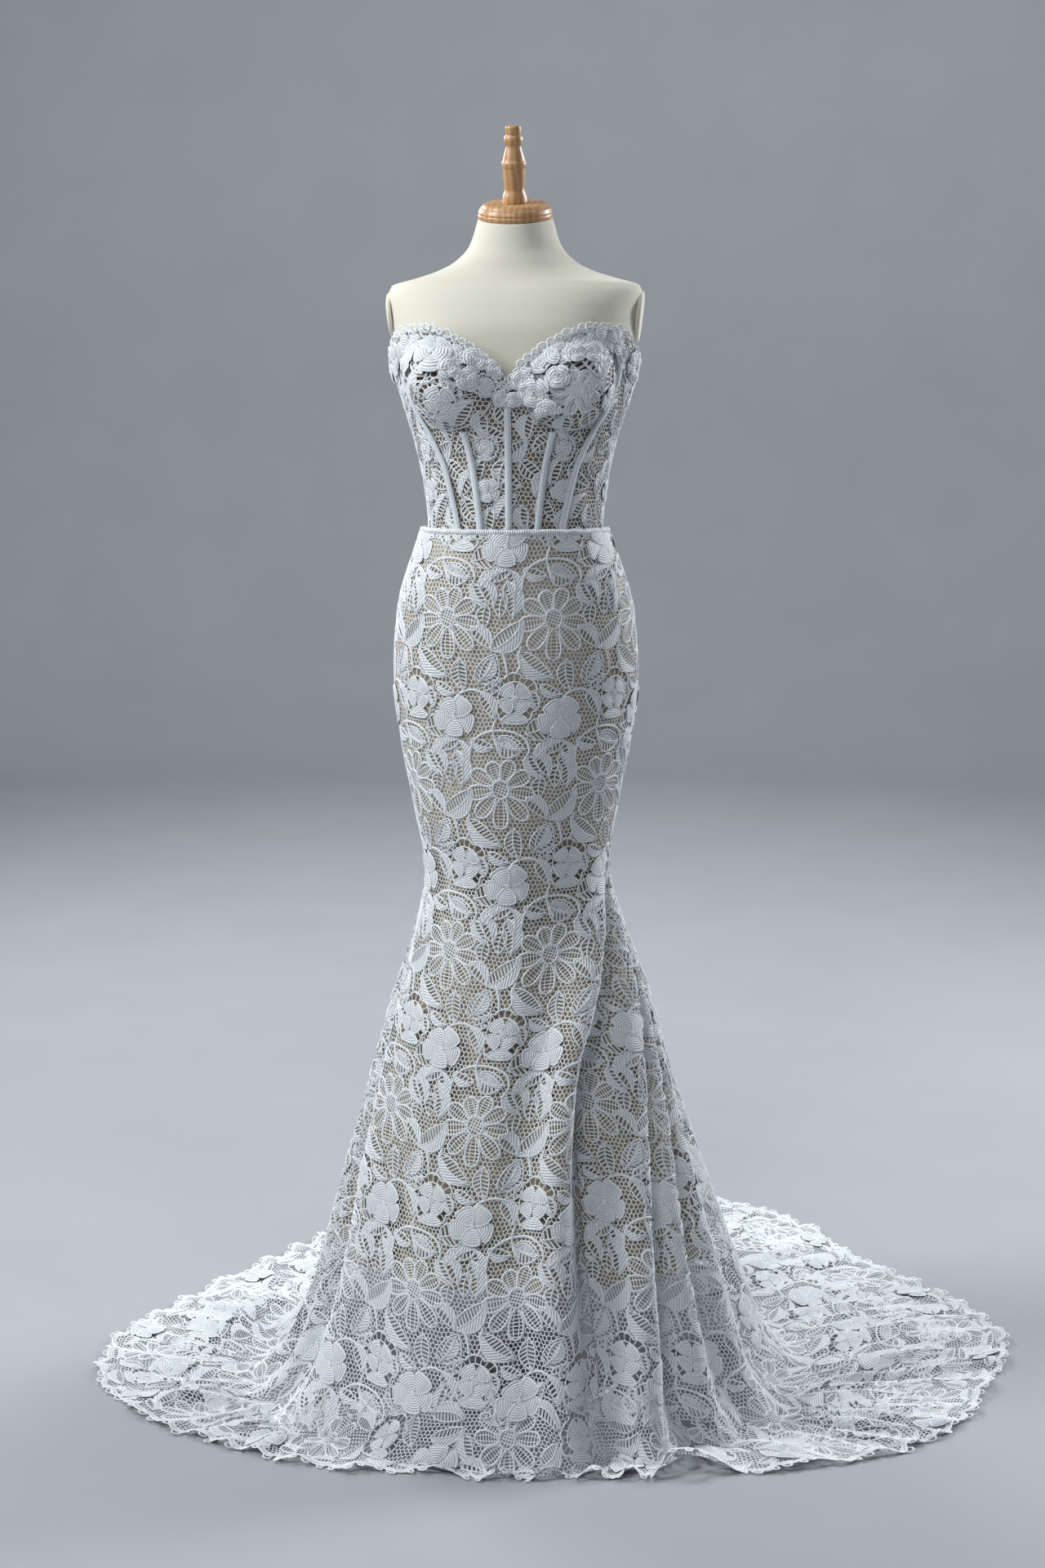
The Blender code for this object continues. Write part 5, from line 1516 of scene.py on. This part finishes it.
def add_wood(finish):
    """The turned cap and finial stand on the leaning neck."""
    cap = ((0.0455, 0.0), (0.0470, 0.0018), (0.0470, 0.0055), (0.0455, 0.0063),
           (0.0466, 0.0078), (0.0440, 0.0130), (0.0426, 0.0138), (0.0398, 0.0175),
           (0.0370, CAP_HEIGHT))
    finial = ((0.0158, 0.0), (0.0160, 0.0030), (0.0150, 0.0085), (0.0130, 0.0135),
              (0.0124, 0.0165), (0.0130, 0.0240), (0.0139, 0.0340), (0.0143, 0.0425),
              (0.0156, 0.0440), (0.0157, 0.0490), (0.0142, 0.0505), (0.0124, 0.0580),
              (0.0102, 0.0650), (0.0094, 0.0685), (0.0112, 0.0715), (0.0121, 0.0756),
              (0.0112, 0.0797), (0.0090, 0.0820), (0.0098, 0.0832), (0.0099, 0.0905),
              (0.0092, 0.0920))
    neck = Matrix.Translation((0.0, 0.0, NECK_TOP)) @ Matrix.Rotation(NECK_LEAN, 4, "X")
    for name, profile, rise in (("neck_cap", cap, SEAM_GAP),
                                ("finial", finial, CAP_HEIGHT + 2 * SEAM_GAP)):
        turned_mesh(name, rounded(profile), neck @ Matrix.Translation((0.0, 0.0, rise)),
                    finish, "wood")


# Stage, light and camera


def add_stage(colour=(0.40, 0.41, 0.43)):
    """A plain floor that sweeps up all round into a plain backdrop, which other views
    look at from inside as well."""
    nodes = Nodes("floor", colour, 0.75)
    nodes.colours(nodes.noise(3.0, 4.0), (0.3, tuple(0.95 * c for c in colour)), (0.7, colour))
    turn = np.linspace(0, math.pi / 2, 12)
    cove, reach, sides = 1.5, 7.0, 96
    radius = np.concatenate(([0.01, 1.0, 3.0], reach - cove + cove * np.sin(turn), [reach]))
    z = np.concatenate(([0.0, 0.0, 0.0], cove - cove * np.cos(turn), [6.5])) - 0.0006
    around = np.linspace(0, FULL_TURN, sides, endpoint=False)
    points = np.vstack([np.stack((r * np.cos(around), r * np.sin(around), 0 * around + h), 1)
                        for r, h in zip(radius, z)])
    floor = add_mesh("floor", points, grid_faces(len(z), sides, True), [nodes.material])


def add_light(name, place, target, size, power, colour):
    data = bpy.data.lights.new(name, "AREA")
    data.shape = "RECTANGLE"
    data.size, data.size_y = size
    data.energy = power
    data.color = colour
    obj = link(name, data)
    obj.visible_camera = False
    place, target = Vector(place), Vector(target)
    obj.matrix_world = (Matrix.Translation(place)
                        @ (target - place).to_track_quat("-Z", "Y").to_matrix().to_4x4())


def add_lights():
    world = bpy.data.worlds.new("studio")
    world.use_nodes = True
    back = world.node_tree.nodes["Background"]
    back.inputs["Color"].default_value = (0.80, 0.88, 1.0, 1.0)
    back.inputs["Strength"].default_value = 0.20
    bpy.context.scene.world = world
    bpy.context.scene.view_settings.view_transform = "Standard"
    # Name, place, where it points, size and power
    for light in (
            ("key", (-2.2, -0.7, 2.9), (0, 0, 0.9), (0.9, 1.6), 81),
            ("rim", (2.3, 1.5, 2.3), (0, 0.2, 0.3), (0.9, 1.4), 80),
            ("back", (-1.9, 2.2, 2.6), (-0.2, 0.3, 0.1), (1.0, 1.0), 45),
            ("front", (-0.9, -3.2, 3.4), (0, 0, 0.8), (1.2, 1.0), 35),
            ("wall", (0.0, 2.6, 3.6), (0, 7.0, 1.6), (3.0, 0.8), 105)):
        add_light(*light, (0.93, 0.97, 1.0))


def add_camera():
    data = bpy.data.cameras.new("camera")
    data.sensor_width = 36.0
    data.lens = 50.0
    camera = link("camera", data)
    azimuth, down = math.radians(5.0), 8.68
    distance, aside, height = 2.8036, 0.009, 1.235
    x = distance * math.sin(azimuth) + aside * math.cos(azimuth)
    y = -distance * math.cos(azimuth) + aside * math.sin(azimuth)
    camera.location = (x, y, height)
    camera.rotation_euler = (math.radians(90 - down), 0.0, azimuth)
    bpy.context.scene.camera = camera


def finish_stand(finish):
    """The base and pole keep the solids' shapes."""
    for name in ("stand_base", "stand_pole"):
        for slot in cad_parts[name].material_slots:
            slot.material = finish


def main():
    white, shade = (0.92, 0.94, 0.95), (0.79, 0.82, 0.84)
    finishes = [
        lace_finish("net", (0.89, 0.91, 0.92), (0.75, 0.78, 0.80), 0.75, 0.0003),
        lace_finish("cord", white, shade, 0.68, 0.0005),
        # The satin stitch's darkest colour is painted shade for its grooves.
        satin_stitch_finish("satin_stitch", (0.91, 0.93, 0.94), shade, (0.48, 0.51, 0.54)),
    ]
    lining, deep, satin, button, canvas, plate = (woven_finish(*row) for row in (
        ("lining", (0.47, 0.385, 0.275), (0.39, 0.32, 0.225), 0.48, 520.0, 0.0002, 0.1),
        # The bodice's lining is the skirt's lining cloth made darker: painted shade under the lace
        # and cups.
        ("bodice_lining", (0.33, 0.25, 0.165), (0.27, 0.20, 0.135), 0.5, 520.0, 0.0002, 0.1),
        ("satin", (0.80, 0.84, 0.87), (0.72, 0.76, 0.80), 0.36, 700.0, 0.0001, 0.2),
        ("covered_button", (0.80, 0.84, 0.87), (0.70, 0.74, 0.78), 0.42, 500.0, 0.0001),
        ("canvas", (0.83, 0.79, 0.67), (0.77, 0.73, 0.61), 0.82, 480.0, 0.0003, 0.1),
        ("plate_canvas", (0.83, 0.79, 0.67), (0.77, 0.73, 0.61), 0.8, 480.0, 0.0003)))
    columns, edges = add_skirt_lace(main_repeat(), border_repeat(), finishes)
    add_skirt_lining(columns, edges, lining)
    add_bodice(bodice_repeat(), finishes, deep)
    add_bones(satin, finishes[CORD])
    add_neckline(finishes)
    add_closing(satin, button)
    add_form(canvas)
    add_wood(wood_finish())
    add_arm_plates(plate)
    finish_stand(metal_finish())
    add_stage()
    add_lights()
    add_camera()


main()
